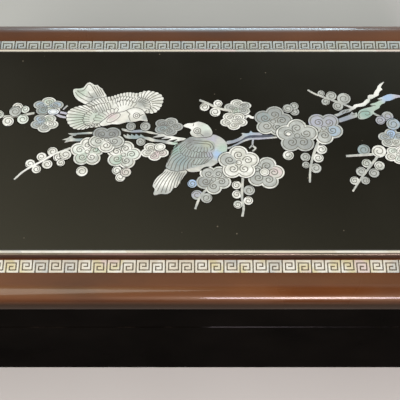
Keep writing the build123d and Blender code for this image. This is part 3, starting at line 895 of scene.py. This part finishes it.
# Buds and loose petals are (x, y, radius, layer, tint)
buds = [
    (-73.3, 12.8, 1.7, 1, "pale"), (-69.9, 9.9, 2.0, 1, "white"), (-67.1, 15.9, 1.9, 0, "white"),
    (-67.8, 14.1, 2.1, 1, "silver"), (-64.4, 15.0, 1.5, 0, "mint"), (-64.8, 10.8, 2.0, 2, "mint"),
    (-53.5, -2.6, 1.8, 1, "white"), (-57.1, -4.7, 1.7, 1, "white"), (-60.8, -7.5, 1.7, 1, "white"),
    (-58.5, -9.7, 1.6, 1, "white"), (-55.0, -7.7, 1.8, 1, "white"), (-51.4, -4.8, 1.8, 1, "white"),
    (-49.0, -3.9, 2.0, 2, "white"), (-50.4, -7.1, 1.4, 2, "cream"),
    (-43.0, -10.5, 2.0, 1, "white"), (-31.2, -10.2, 1.7, 0, "pale"),
    (-28.1, -10.9, 1.8, 2, "pink"), (-29.9, -12.9, 1.7, 1, "white"), (-27.0, 7.8, 1.7, 1, "grey"),
    (-22.0, 7.8, 1.8, 1, "silver"), (-23.4, 1.4, 1.6, 1, "silver"), (-1.4, 16.0, 1.7, 1, "white"),
    (3.3, 17.4, 1.6, 1, "white"), (2.3, 13.8, 1.9, 1, "white"), (27.8, 15.3, 1.8, 2, "silver"),
    (30.1, 16.4, 1.6, 1, "silver"), (30.2, 14.0, 1.6, 0, "silver"), (27.2, -4.1, 1.9, 1, "pale"),
    (38.7, -1.7, 1.9, 1, "pale"), (37.4, -5.2, 1.8, 1, "pale"), (33.0, -4.8, 1.7, 1, "silver"),
    (33.0, -8.0, 1.3, 1, "silver"), (36.3, -9.3, 1.9, 1, "silver"), (39.9, 21.8, 1.3, 1, "silver"),
    (43.4, 20.8, 1.9, 1, "silver"), (41.3, 18.3, 1.5, 1, "silver"), (47.8, 19.6, 2.4, 1, "silver"),
    (45.5, 16.4, 1.9, 1, "silver"), (62.5, 12.0, 2.1, 1, "lilac"), (59.9, 10.3, 1.7, 2, "lilac"),
    (64.2, 8.7, 2.4, 3, "blue"), (53.2, -1.9, 2.2, 1, "teal"), (58.3, -2.5, 2.5, 2, "white"),
    (53.7, -7.3, 1.7, 1, "pale"), (58.0, -8.3, 1.8, 1, "pale"), (51.6, -10.6, 1.8, 1, "silver"),
    (55.9, -11.2, 1.8, 1, "silver"), (49.1, -14.2, 1.6, 1, "pale"),
    (52.8, -14.2, 1.5, 1, "silver"), (-5.6, -15.4, 1.6, 1, "sky"), (-4.0, -19.8, 1.9, 1, "lilac"),
    (-0.8, -21.0, 1.9, 1, "silver"), (9.3, -16.0, 1.6, 1, "white"), (9.3, -19.6, 1.6, 1, "white"),
    (9.6, -23.5, 1.5, 1, "pale"), (13.5, -18.0, 1.9, 1, "silver"), (13.1, -22.0, 1.6, 1, "white"),
]

berries = Inlay()
for entry in buds:
    bud(berries, *entry)
berries.finish("picture_buds", "pearl_buds")


# Picture: branches

# Twigs are (layer, width at the start, width at the end, points along the middle)
twigs = [
    (0, 1.0, 0.8, [(-76.5, 11.6), (-70.0, 12.0), (-66.0, 12.4), (-61.0, 13.5)]),
    (0, 0.9, 0.8, [(-53.0, 14.0), (-51.0, 13.6), (-48.8, 12.9)]),
    (0, 0.9, 0.8, [(-53.8, 13.2), (-51.6, 12.0), (-48.8, 11.5)]),
    (0, 0.5, 0.6, [(-51.0, 14.9), (-50.3, 15.9), (-49.6, 16.6)]),
    (2, 0.6, 0.8, [(-65.7, -13.8), (-63.3, -11.0), (-60.8, -9.0), (-56.5, -6.2), (-52.8, -3.6),
     (-47.3, -1.1)]),
    (2, 0.8, 0.9, [(-3.2, 19.0), (0.0, 17.4), (3.0, 15.6), (8.0, 14.4)]),
    (0, 1.1, 0.8, [(12.6, 11.4), (13.9, 12.3), (15.1, 11.6), (17.0, 11.7)]),
    (0, 0.6, 0.75, [(5.5, -1.4), (7.6, -0.8), (10.0, 0.6), (12.3, 1.9), (14.6, 2.7), (18.0, 2.8),
     (24.0, 3.4)]),
    (0, 0.7, 0.6, [(15.3, 2.4), (15.1, -0.1), (16.1, -1.1), (15.0, -2.4)]),
    (0, 0.6, 0.5, [(15.1, 0.1), (13.9, -1.2)]),
    (2, 1.0, 0.7, [(37.8, 1.5), (35.6, -4.6), (34.4, -10.0), (34.0, -14.9)]),
    (2, 0.6, 0.8, [(35.2, 23.4), (38.0, 21.5), (44.0, 18.8), (50.5, 15.7)]),
    (0, 0.8, 0.6, [(57.6, 13.6), (58.9, 12.6), (60.4, 12.0)]),
    (2, 0.9, 1.0, [(46.9, -4.4), (57.0, -3.6)]),
    (2, 0.7, 0.9, [(48.2, -18.4), (51.0, -13.9), (54.2, -9.4), (57.8, -4.4)]),
    (2, 0.7, 0.9, [(-4.6, -25.2), (-3.0, -20.6), (-0.8, -17.7)]),
    (2, 0.9, 0.8, [(11.5, -12.6), (11.0, -20.5), (11.5, -24.5), (11.0, -28.0)]),
]

# Boughs are outlines with barbs and torn ends. The dark one lies between two others.
dark_bough = [
    (10.4, 1.6), (12.2, 3.2), (14.0, 4.0), (18.0, 4.4), (22.0, 4.3), (22.0, 3.4), (18.0, 3.2),
    (15.2, 3.2), (13.2, 2.5), (11.6, 1.4),
]
boughs = [
    [(-40.2, 5.5), (-43.5, 5.3), (-46.5, 5.0), (-48.7, 4.9), (-47.4, 4.2), (-46.2, 3.9),
     (-45.4, 4.5), (-43.0, 4.6), (-40.2, 4.8)],
    [(-40.5, 3.2), (-42.5, 3.0), (-44.5, 2.7), (-46.3, 2.8), (-47.1, 3.4), (-46.9, 4.0),
     (-47.9, 3.8), (-48.7, 3.0), (-50.6, 2.3), (-49.1, 2.1), (-49.7, 1.1), (-48.0, 1.6),
     (-46.5, 1.7), (-44.0, 1.7), (-42.0, 2.0), (-40.5, 2.2)],
    [(-30.2, 7.0), (-28.5, 6.6), (-27.0, 6.2), (-25.0, 6.3), (-23.2, 6.4), (-21.5, 6.0),
     (-19.8, 5.6), (-18.0, 5.0), (-16.0, 4.7), (-14.0, 4.3), (-12.4, 3.7), (-10.6, 3.3),
     (-8.4, 3.0), (-7.4, 2.4), (-8.6, 2.1), (-9.8, 1.9), (-12.0, 1.4), (-11.0, 2.2), (-10.9, 2.6),
     (-12.4, 2.2), (-14.4, 1.8), (-13.2, 2.6), (-13.0, 3.0), (-14.4, 2.8), (-16.4, 2.5),
     (-15.3, 3.3), (-15.2, 3.7), (-16.8, 3.4), (-19.3, 3.3), (-17.7, 4.1), (-17.4, 4.4),
     (-18.6, 4.6), (-20.4, 4.9), (-22.0, 5.4), (-24.0, 5.4), (-26.0, 5.3), (-28.0, 5.6),
     (-29.8, 6.1)],
    [(-29.4, 3.9), (-29.3, 4.5), (-28.3, 3.9), (-28.2, 4.7), (-26.9, 3.9), (-26.8, 4.7),
     (-25.5, 3.8), (-25.2, 4.7), (-23.9, 3.7), (-23.5, 4.6), (-22.2, 3.5), (-20.8, 3.4),
     (-19.6, 3.0), (-18.2, 2.4), (-16.8, 2.2), (-15.2, 2.0), (-13.5, 1.6), (-12.0, 1.2),
     (-10.6, 1.0), (-10.9, 0.2), (-12.6, 0.3), (-14.6, 0.7), (-16.2, 1.2), (-18.0, 1.5),
     (-19.6, 1.6), (-20.8, 2.1), (-22.2, 2.6), (-24.0, 2.7), (-26.5, 2.7), (-28.6, 3.0)],
    [(6.2, 1.7), (8.0, 2.0), (9.6, 2.6), (10.8, 3.4), (11.7, 4.3), (11.3, 5.1), (12.8, 4.9),
     (14.1, 5.1), (14.6, 6.0), (15.2, 5.3), (16.6, 5.2), (18.4, 5.1), (18.4, 4.2), (16.0, 4.2),
     (14.2, 4.1), (12.9, 3.6), (12.0, 2.9), (10.9, 2.0), (9.2, 1.2), (7.6, 0.7), (6.2, 0.5)],
    [(43.6, 12.6), (45.5, 13.4), (46.8, 14.6), (48.8, 15.1), (50.3, 15.7), (51.3, 17.0),
     (53.0, 17.4), (54.3, 17.8), (55.0, 18.6), (56.0, 19.5), (57.0, 19.5), (56.9, 18.5),
     (55.8, 17.3), (54.8, 16.5), (53.4, 16.2), (52.2, 16.0), (51.5, 15.3), (50.5, 14.8),
     (49.5, 14.0), (48.0, 13.5), (46.5, 12.7), (44.6, 11.9)],
    [(56.2, 19.9), (56.5, 21.0), (57.2, 21.3), (58.4, 21.4), (58.8, 22.4), (59.8, 23.9),
     (60.2, 25.0), (61.3, 26.2), (62.7, 27.0), (61.8, 25.6), (61.3, 24.5), (61.8, 23.6),
     (61.0, 23.0), (60.4, 22.0), (60.2, 21.1), (59.2, 20.5), (58.2, 19.8), (57.2, 19.4),
     (56.6, 19.6)],
    [(44.4, 10.5), (47.5, 11.9), (49.5, 12.9), (50.3, 14.0), (50.9, 13.2), (51.8, 13.7),
     (52.1, 12.8), (51.9, 11.8), (50.0, 11.1), (48.0, 10.3), (45.0, 9.4)],
    [(52.2, 12.3), (52.4, 13.6), (53.2, 14.7), (54.8, 15.4), (56.5, 15.9), (57.8, 16.4),
     (56.9, 17.2), (58.8, 17.9), (60.0, 18.6), (61.0, 19.1), (59.7, 19.5), (61.5, 20.4),
     (63.0, 21.2), (64.5, 21.6), (66.5, 21.3), (68.5, 20.9), (71.5, 20.5), (71.5, 19.7),
     (67.5, 20.2), (65.5, 19.5), (64.0, 18.8), (62.5, 18.6), (62.2, 17.9), (61.2, 17.3),
     (60.4, 16.7), (60.0, 15.6), (58.8, 14.9), (58.0, 14.2), (57.7, 13.2), (56.5, 12.0),
     (55.0, 11.1), (53.2, 10.8), (52.3, 11.3)],
]
bough_lines = [
    [(52.9, 11.3), (52.6, 12.6), (53.4, 13.8), (54.8, 14.2), (56.3, 13.9), (56.4, 12.9),
     (55.3, 12.5), (54.8, 13.1)],
    [(56.9, 16.6), (58.8, 16.6)],
    [(59.8, 18.9), (61.3, 19.1)],
    [(46.8, 13.4), (47.8, 14.4)],
    [(48.2, 13.8), (49.2, 14.8)],
    [(50.2, 12.6), (51.4, 12.9)],
]
wood_patches = [
    (-68.0, 12.0, 7.0, CREAM), (-51.0, 13.0, 3.5, LILAC_PALE), (-45.0, 4.7, 3.4, GREY),
    (-43.5, 2.4, 4.0, TEAL), (-13.0, 3.4, 6.0, WHITE), (-25.0, 3.4, 4.5, TEAL),
    (-16.0, 1.6, 3.2, GREY), (-25.0, 5.8, 2.4, BLUE_GREY), (-11.6, 0.7, 2.2, JADE),
    (-57.0, -7.0, 12.0, WHITE), (3.0, 16.0, 7.0, CREAM), (15.0, 11.8, 3.0, WHITE),
    (9.0, 1.6, 4.4, BLUE_GREY), (14.5, 5.0, 3.4, BLUE), (18.0, 2.8, 5.0, LILAC),
    (49.5, 14.8, 5.0, GREY), (53.0, 17.6, 5.5, WHITE), (60.0, 23.0, 6.5, WHITE),
    (47.5, 11.0, 4.2, BLUE_GREY), (55.0, 13.4, 4.0, GREEN), (59.4, 16.8, 4.4, JADE),
    (63.4, 20.2, 3.6, SKY), (68.4, 20.4, 4.0, LILAC_PALE),
]


def twig(inlay, layer, start_width, end_width, points, material):
    """Strip of shell with an uneven edge."""
    course = smooth(points, steps=5, closed=False)
    halves = []
    for index in range(len(course)):
        share = index / (len(course) - 1)
        width = start_width + (end_width - start_width) * share
        halves.append(width * random.uniform(twig_least, twig_most) / 2)
    left = shifted(course, [-half for half in halves], closed=False)
    right = shifted(course, halves, closed=False)
    inlay.plate(left + right[::-1], material, layer_top(layer) - line_rise)


wood = Inlay()
wood_shell = shell("pearl_wood", SILVER, CREAM, wood_patches)
night_shell = shell("pearl_night", NIGHT, NIGHT_PALE)
for entry in twigs:
    twig(wood, *entry, wood_shell)
wood.plate(smooth(dark_bough, steps=2), night_shell, layer_top(0) - 2 * line_rise)
for outline in boughs:
    wood.plate(smooth(outline, steps=2), wood_shell, layer_top(0))
for points in bough_lines:
    wood.stroke(points, 0)
wood.finish("picture_branches", "pearl_branches")


# Picture: birds

def even(points, count):
    """Evenly spaced points along a smooth curve through the points, both ends included."""
    curve = smooth(points, steps=8, closed=False)
    return [along(curve, index / (count - 1))[0] for index in range(count)]


def feather_lines(inlay, roots, tips, count, layer, bow=0.0, hooks=False):
    """Engraved lines from one curve to another. Hooks round the feather tips between them."""
    starts = even(roots, count)
    ends = even(tips, count)
    for index in range(count):
        (x0, y0), (x1, y1) = starts[index], ends[index]
        middle = ((x0 + x1) / 2 - (y1 - y0) * bow, (y0 + y1) / 2 + (x1 - x0) * bow)
        course = [(x0, y0), middle, (x1, y1)]
        if hooks and index < count - 1:
            x2, y2 = ends[index + 1]
            out = 0.5 * hypot(x2 - x1, y2 - y1) / hypot(x1 - x0, y1 - y0)
            tip = (x1 + x2) / 2 + (x1 - x0) * out, (y1 + y2) / 2 + (y1 - y0) * out
            course += [tip, (x2, y2)]
        course = smooth(course, steps=3, closed=False)
        inlay.line(course, layer, line_width * (hook_line if hooks else 1))


def scalloped(points, scallops, depth):
    """Curve through the points with round feather tips along it."""
    steps = 5
    curve = smooth(points, steps=8, closed=False)
    edge = []
    for index in range(scallops * steps + 1):
        (x, y), angle = along(curve, index / (scallops * steps))
        bulge = depth * abs(sin(pi * index / steps))
        edge.append((x - sin(angle) * bulge, y + cos(angle) * bulge))
    return edge


# Flying bird: its curves run clockwise, so that feather tips bulge outwards
flying = Inlay()
flying_patches = [
    (-45.2, 22.4, 3.4, JADE_PALE), (-40.2, 19.4, 3.6, SILVER), (-30.0, 18.2, 4.4, WHITE),
    (-45.0, 10.8, 4.6, JADE_PALE), (-38.6, 17.4, 3.2, WHITE), (-23.4, 17.8, 3.0, SILVER),
    (-38.8, 12.0, 3.6, JADE_PALE), (-33.6, 11.6, 2.8, PINK), (-29.8, 11.6, 3.2, PEARL_WHITE),
    (-37.6, 14.4, 2.6, SILVER_PALE), (-28.0, 9.6, 1.4, SILVER_PALE), (-26.0, 13.6, 2.6, WHITE),
    (-22.2, 11.4, 1.8, SILVER),
]
flying_shell = shell("pearl_bird_white", CREAM, WHITE, flying_patches)
tail_edge = [
    (-44.9, 18.1), (-46.7, 19.6), (-47.7, 21.4), (-47.9, 23.7), (-45.7, 24.0), (-44.4, 24.5),
    (-43.3, 26.2), (-42.3, 26.7), (-41.3, 26.2), (-40.4, 25.5), (-39.5, 25.6), (-38.6, 24.6),
    (-37.7, 23.9), (-37.0, 22.6), (-36.0, 20.2), (-38.0, 18.0), (-42.0, 16.8),
]
flying.lay(smooth(tail_edge, steps=3), flying_shell, 0)
tail_lines = [
    [(-47.2, 22.4), (-45.9, 20.6), (-43.8, 19.1), (-42.3, 18.3)],
    [(-46.7, 23.1), (-45.2, 21.9), (-43.0, 20.4), (-40.9, 19.9)],
    [(-46.5, 23.0), (-44.9, 22.9), (-43.8, 23.8), (-43.1, 25.4), (-42.4, 25.9), (-41.6, 25.1),
     (-40.7, 23.5), (-39.6, 21.4), (-39.1, 20.4)],
    [(-42.7, 22.6), (-41.7, 21.0), (-40.7, 20.1)],
    [(-40.8, 25.0), (-39.9, 23.5), (-38.3, 20.6)],
    [(-39.7, 24.9), (-38.8, 23.0), (-37.8, 21.0)],
    [(-38.6, 24.0), (-38.0, 23.0), (-37.1, 21.0)],
]
for points in tail_lines:
    flying.stroke(points, 0)

left_edge = [
    (-38.3, 7.6), (-41.2, 7.5), (-43.3, 6.8), (-45.7, 6.7), (-47.5, 7.5), (-48.8, 9.1),
    (-49.5, 11.4), (-49.1, 13.9), (-48.0, 15.1), (-46.5, 15.9), (-44.6, 16.4), (-43.0, 16.7),
]
shoulder_edge = [
    (-43.0, 16.7), (-42.0, 17.6), (-40.7, 18.7), (-39.1, 19.4), (-37.3, 19.9), (-34.6, 20.2),
]
right_edge = [
    (-34.6, 20.2), (-32.0, 21.2), (-30.4, 21.7), (-28.3, 22.1), (-26.5, 21.9), (-24.9, 21.7),
]
tip_edge = [
    (-24.9, 21.7), (-23.6, 22.3), (-21.7, 22.8), (-19.9, 22.5), (-18.1, 22.0), (-16.7, 20.8),
    (-16.1, 19.3), (-16.5, 17.5), (-17.0, 15.9), (-18.1, 14.4), (-19.6, 13.5), (-22.3, 13.8),
]
wing = (
    scalloped(left_edge, 15, 0.28)
    + scalloped(shoulder_edge, 8, 0.28)
    + scalloped(right_edge, 9, 0.3)
    + scalloped(tip_edge, 13, 0.35)
    + [(-24.0, 11.0), (-29.0, 9.6), (-34.0, 8.9)]
)
flying.lay(wing, flying_shell, 1)

# Rows of feathers are (roots, tips, count), followed by the bow of the lines where they have one
wing_rows = [
    ([(-39.0, 8.6), (-42.4, 8.6), (-43.6, 11.0), (-42.6, 13.6), (-40.8, 15.0)],
     left_edge, 16, 0.0),
    ([(-40.6, 15.8), (-37.6, 17.6), (-34.4, 18.6)], shoulder_edge, 9, 0.0),
    ([(-34.0, 18.8), (-30.6, 20.4), (-28.4, 20.8), (-25.2, 20.2)], right_edge, 10, 0.0),
    ([(-24.4, 20.0), (-22.2, 19.6), (-20.2, 18.0), (-20.0, 16.4), (-21.6, 14.8)],
     tip_edge, 14, 0.05),
]
for roots, tips, count, bow in wing_rows:
    feather_lines(flying, roots, tips, count, 1, bow)
hooked_rows = [
    ([(-38.4, 8.8), (-41.0, 9.4), (-41.6, 11.2), (-40.8, 12.8), (-39.2, 13.6)],
     [(-39.4, 7.9), (-42.6, 8.6), (-43.5, 11.2), (-42.2, 13.6), (-39.8, 15.0)], 11),
    ([(-39.4, 13.4), (-37.0, 14.2), (-34.2, 15.2)],
     [(-41.2, 16.0), (-38.2, 17.0), (-34.8, 17.6)], 8),
    ([(-37.4, 9.0), (-36.8, 11.2), (-34.6, 13.0), (-32.2, 13.6)],
     [(-39.8, 8.8), (-39.0, 12.0), (-35.2, 14.4), (-31.6, 15.0)], 9),
    ([(-33.6, 17.0), (-30.6, 18.6), (-27.0, 17.8)],
     [(-33.8, 18.8), (-30.2, 20.3), (-25.8, 19.4)], 9),
    ([(-31.6, 15.8), (-29.4, 16.8), (-26.6, 15.8)],
     [(-32.4, 17.6), (-29.2, 18.8), (-25.4, 17.2)], 7),
    ([(-25.6, 18.0), (-23.6, 17.6), (-22.6, 15.6)],
     [(-25.0, 19.8), (-21.4, 18.6), (-20.6, 15.0)], 9),
]
for row in hooked_rows:
    feather_lines(flying, *row, 1, hooks=True)

body_edge = [
    (-36.8, 7.9), (-33.6, 8.7), (-31.5, 8.6), (-29.4, 9.3), (-27.5, 9.6), (-25.4, 9.8),
    (-24.1, 10.2), (-22.8, 10.1), (-21.3, 9.8), (-21.5, 11.2), (-22.0, 12.5), (-22.5, 13.7),
    (-23.3, 14.7), (-24.6, 15.4), (-26.5, 15.5), (-28.3, 14.8), (-29.6, 14.0), (-31.4, 13.6),
    (-34.0, 12.9), (-36.4, 10.6), (-38.0, 8.8),
]
flying.lay(smooth(body_edge, steps=3), flying_shell, 2)

# Patch on the body, cheek, eye and beak
flying.line(oval(-33.2, 11.3, 2.8, 1.2, 38), 2, patch_line * line_width, closed=True)
flying.plate(oval(-33.2, 11.3, 2.1, 0.62, 38), shells["pink"], layer_top(3))
cheek = [(-28.7, 14.5), (-28.4, 13.8), (-27.5, 13.0), (-27.9, 12.2), (-27.7, 11.2), (-27.3, 10.1)]
flying.stroke(cheek, 2)
flying.line(circle(-25.2, 12.3, 1.15, 14), 2, closed=True)
flying.line(circle(-25.2, 12.3, 0.5, 10), 2, closed=True)
flying.line([(-24.1, 12.2), (-22.8, 12.9)], 2)
flying.finish("picture_bird_flying", "pearl_bird_flying")

# Perched bird
perched = Inlay()
perched_patches = [
    (0.6, 2.4, 3.4, LILAC_PALE), (0.2, 4.6, 1.8, CREAM), (0.0, -8.8, 2.6, SILVER_PALE),
    (4.4, 1.6, 2.6, SILVER_PALE), (3.4, -3.6, 3.2, SKY), (4.8, -1.4, 2.6, JADE),
    (-15.0, -14.6, 5.4, WHITE), (-15.2, -18.6, 2.6, SILVER), (-6.2, 8.2, 4.6, WHITE),
    (-0.8, 7.0, 3.0, MINT), (-0.6, 4.2, 2.4, SILVER),
]
wing_patches = [
    (-12.0, -1.6, 3.4, GREEN), (-9.4, -6.0, 3.6, TEAL), (-14.0, -7.4, 2.4, SILVER),
    (-0.4, 0.6, 2.8, YELLOW_GREY), (1.0, -3.8, 2.4, LILAC), (-6.4, 1.8, 2.4, SMOKE),
]
wing_shell = shell("pearl_wing", WING, GREY, wing_patches)
perched_shell = shell("pearl_bird_grey", SILVER, CREAM, perched_patches)
perched_tail_edge = [
    (-7.4, -10.4), (-8.4, -12.5), (-9.4, -14.3), (-10.9, -16.9), (-11.9, -17.0), (-12.8, -18.7),
    (-14.4, -19.5), (-16.3, -19.4), (-18.1, -19.9), (-18.6, -19.2), (-18.2, -17.6), (-18.9, -16.4),
    (-18.5, -14.6), (-17.3, -12.7), (-15.7, -11.2), (-14.4, -9.4), (-11.0, -9.0),
]
perched.lay(smooth(perched_tail_edge, steps=3), perched_shell, 0)
tail_roots = [(-14.6, -10.6), (-12.0, -10.8), (-8.2, -11.0)]
tail_tips = [(-18.4, -15.6), (-17.0, -18.6), (-13.6, -18.6), (-9.8, -15.6)]
feather_lines(perched, tail_roots, tail_tips, 9, 0, bow=-0.05)
body_outline = [
    (1.4, 4.4), (2.9, 4.0), (4.5, 3.0), (5.7, 1.7), (6.3, 0.1), (6.3, -1.7), (5.8, -3.5),
    (4.8, -5.4), (3.2, -6.9), (1.4, -8.3), (-1.0, -9.6), (-2.8, -10.4), (-5.2, -10.8),
    (-7.1, -10.4), (-8.6, -8.0), (-9.0, -2.0), (-7.3, 2.6), (-5.2, 3.6), (-1.5, 4.4),
]
perched.lay(smooth(body_outline, steps=3), perched_shell, 1, below=1)

wing_outline = [
    (-5.2, 3.4), (-1.0, 2.2), (1.4, 1.6), (2.2, 0.0), (2.0, -2.2), (1.0, -3.2), (1.6, -5.0),
    (-0.6, -7.4), (-3.8, -8.6), (-7.0, -9.6), (-9.2, -10.2), (-11.2, -10.4), (-13.2, -9.9),
    (-14.5, -9.0), (-14.6, -8.2), (-14.0, -6.3), (-13.4, -4.6), (-12.3, -2.2), (-11.8, -0.4),
    (-10.2, 0.8), (-8.6, 1.8), (-7.2, 2.8),
]
perched.lay(smooth(wing_outline, steps=3), wing_shell, 2, below=1)
long_roots = [(-10.8, -0.4), (-10.1, -3.2), (-8.4, -4.8), (-6.4, -5.3), (-5.0, -6.0)]
long_tips = [(-13.2, -4.4), (-14.2, -8.2), (-11.6, -10.2), (-8.0, -9.8), (-6.0, -8.8)]
feather_lines(perched, long_roots, long_tips, 10, 2, bow=-0.12)
perched_rows = [
    ([(-8.2, 0.8), (-7.7, -1.6), (-5.4, -2.8), (-2.6, -3.0), (0.8, -2.9)],
     [(-9.7, -0.8), (-9.2, -3.3), (-6.2, -4.6), (-2.9, -4.8), (1.5, -4.5)], 15),
    ([(-6.2, 1.2), (-5.2, -0.2), (-3.2, -0.9), (-0.6, -0.9)],
     [(-7.6, 0.2), (-6.4, -1.7), (-3.8, -2.5), (-0.4, -2.5)], 8),
    ([(-4.6, -5.4), (-1.6, -5.6), (1.2, -5.2)], [(-5.4, -7.6), (-3.2, -7.7), (-0.8, -7.0)], 6),
    ([(-8.0, 2.2), (-9.2, 1.0), (-10.6, -0.2)], [(-9.0, 1.6), (-10.4, 0.5), (-11.6, -1.0)], 5),
]
for row in perched_rows:
    feather_lines(perched, *row, 2, hooks=True)
collar = [
    [(-5.4, 1.9), (-2.4, 1.6), (0.2, 1.3), (1.4, 0.0), (1.6, -1.4), (0.6, -2.2)],
    [(-5.0, 0.9), (-2.2, 0.6), (-0.2, 0.4), (0.6, -0.4), (0.6, -1.3)],
]
for points in collar:
    perched.stroke(points, 2)

head_outline = [
    (-8.9, 7.9), (-7.3, 9.0), (-5.5, 9.1), (-4.2, 9.6), (-3.2, 9.7), (-1.8, 9.2), (-0.2, 8.2),
    (0.8, 6.7), (1.3, 5.2), (0.8, 3.8), (-1.5, 3.2), (-3.9, 3.2), (-5.5, 3.7), (-6.3, 4.6),
    (-6.4, 5.4), (-6.0, 6.3), (-7.0, 7.1),
]
perched.lay(smooth(head_outline, steps=3), perched_shell, 3, below=1)

# Eye, and two strokes beside it
perched.line(circle(-3.95, 5.9, 1.25, 16), 3, closed=True)
perched.line(circle(-3.95, 5.9, 0.6, 10), 3, closed=True)
perched.line([(-3.1, 4.9), (-1.7, 3.6)], 3)
perched.line([(-5.2, 8.9), (-5.4, 7.8)], 3)
perched.finish("picture_bird_perched", "pearl_bird_perched")


# Floor, light and camera

FLOOR = paint(184, 182, 178)
FLOOR_LIGHT = paint(191, 189, 185)
floor_size = 40.0
floor_drop = 0.00005

# Lamps are (name, place, target, size, watts, colour)
lamps = [
    ("key", (-0.48, -0.64, 1.03), (0, 0, 0.04), (0.62, 1.1), 12, (1.0, 0.98, 0.9)),
    ("strip", (0.22, -0.9, 0.47), (0.05, -0.05, 0.05), (0.44, 0.12), 8, (1.0, 0.84, 0.94)),
    ("back_strip", (0.0, 1.25, 0.2), (0, 0.08, 0.06), (0.46, 0.12), 5.5, (0.62, 0.82, 1.0)),
]

# The surroundings brighten and dim in soft steps, (from, to, level before, level after). They
# go by how much a direction faces the window, apart from the last, which goes by its height.
toward_window = (-0.33, -0.94, 0.0)
window_steps = [(-0.57, -0.36, 0.3, 1.0), (-0.41, -0.32, 1.0, 1.5), (-0.25, 0.05, 1.0, 0.12)]
behind_step = (-0.57, -0.66, 0.0, 0.62)
tint_step = (-0.64, -0.54, 0.0, 1.0)
height_step = (0.15, 0.7, 0.15, 1.0)
behind_tint = (0.84, 0.93, 1.0, 1)
window_tint = (0.99, 1.0, 0.96, 1)

# Camera: place in millimetres, tilt from straight down in degrees
camera_place = (-3.0, -194.9, 362.8)
camera_tilt = 30
camera_lens = 93.5
camera_sensor = 36.0


def floor():
    finish = Finish("floor")
    tone = finish.between(finish.noise(120, detail=3), 0.3, 0.7)
    finish.set(Base_Color=finish.mix(tone, FLOOR, FLOOR_LIGHT), Roughness=0.9)
    below = (0, 0, cad_low.z - floor_drop)
    bpy.ops.mesh.primitive_plane_add(size=floor_size, location=below)
    plane = bpy.context.object
    plane.name = "floor"
    plane.data.materials.append(finish.material)


def soft_light(name, place, target, size, power, colour):
    """Rectangular soft light at a place, turned to a target. All in metres and watts."""
    data = bpy.data.lights.new(name, "AREA")
    data.shape = "RECTANGLE"
    data.size, data.size_y = size
    data.energy = power
    data.color = colour
    lamp = bpy.data.objects.new(name, data)
    bpy.context.scene.collection.objects.link(lamp)
    lamp.location = place
    lamp.rotation_euler = (Vector(target) - Vector(place)).to_track_quat("-Z", "Y").to_euler()


def world_light():
    """Pale surroundings: a soft window above and in front, a cooler one behind, darker between
    them and close to the horizon in front."""
    world = bpy.data.worlds.new("studio")
    bpy.context.scene.world = world
    world.use_nodes = True
    nodes = Nodes(world.node_tree)

    def ease(value, step):
        return nodes.between(value, *step, kind="SMOOTHSTEP")

    direction = nodes.add("ShaderNodeTexCoord").outputs["Generated"]
    facing = nodes.vector("DOT_PRODUCT", direction, toward_window)
    _, _, height = nodes.parts(direction)
    window = ease(facing, window_steps[0])
    for step in window_steps[1:]:
        window = nodes.maths("MULTIPLY", window, ease(facing, step))
    front = nodes.maths("MULTIPLY", window, ease(height, height_step))
    background = nodes.tree.nodes["Background"]
    strength = nodes.maths("ADD", front, ease(facing, behind_step))
    nodes.feed(background.inputs["Strength"], strength)
    tint = nodes.mix(ease(facing, tint_step), behind_tint, window_tint)
    nodes.feed(background.inputs["Color"], tint)


def camera():
    data = bpy.data.cameras.new("camera")
    data.sensor_width = camera_sensor
    data.lens = camera_lens
    eye = bpy.data.objects.new("camera", data)
    bpy.context.scene.collection.objects.link(eye)
    eye.location = Vector(camera_place) * MM
    eye.rotation_euler = (radians(camera_tilt), 0, 0)
    bpy.context.scene.camera = eye


floor()
for lamp in lamps:
    soft_light(*lamp)
world_light()
camera()

bpy.context.scene.view_settings.view_transform = "Standard"
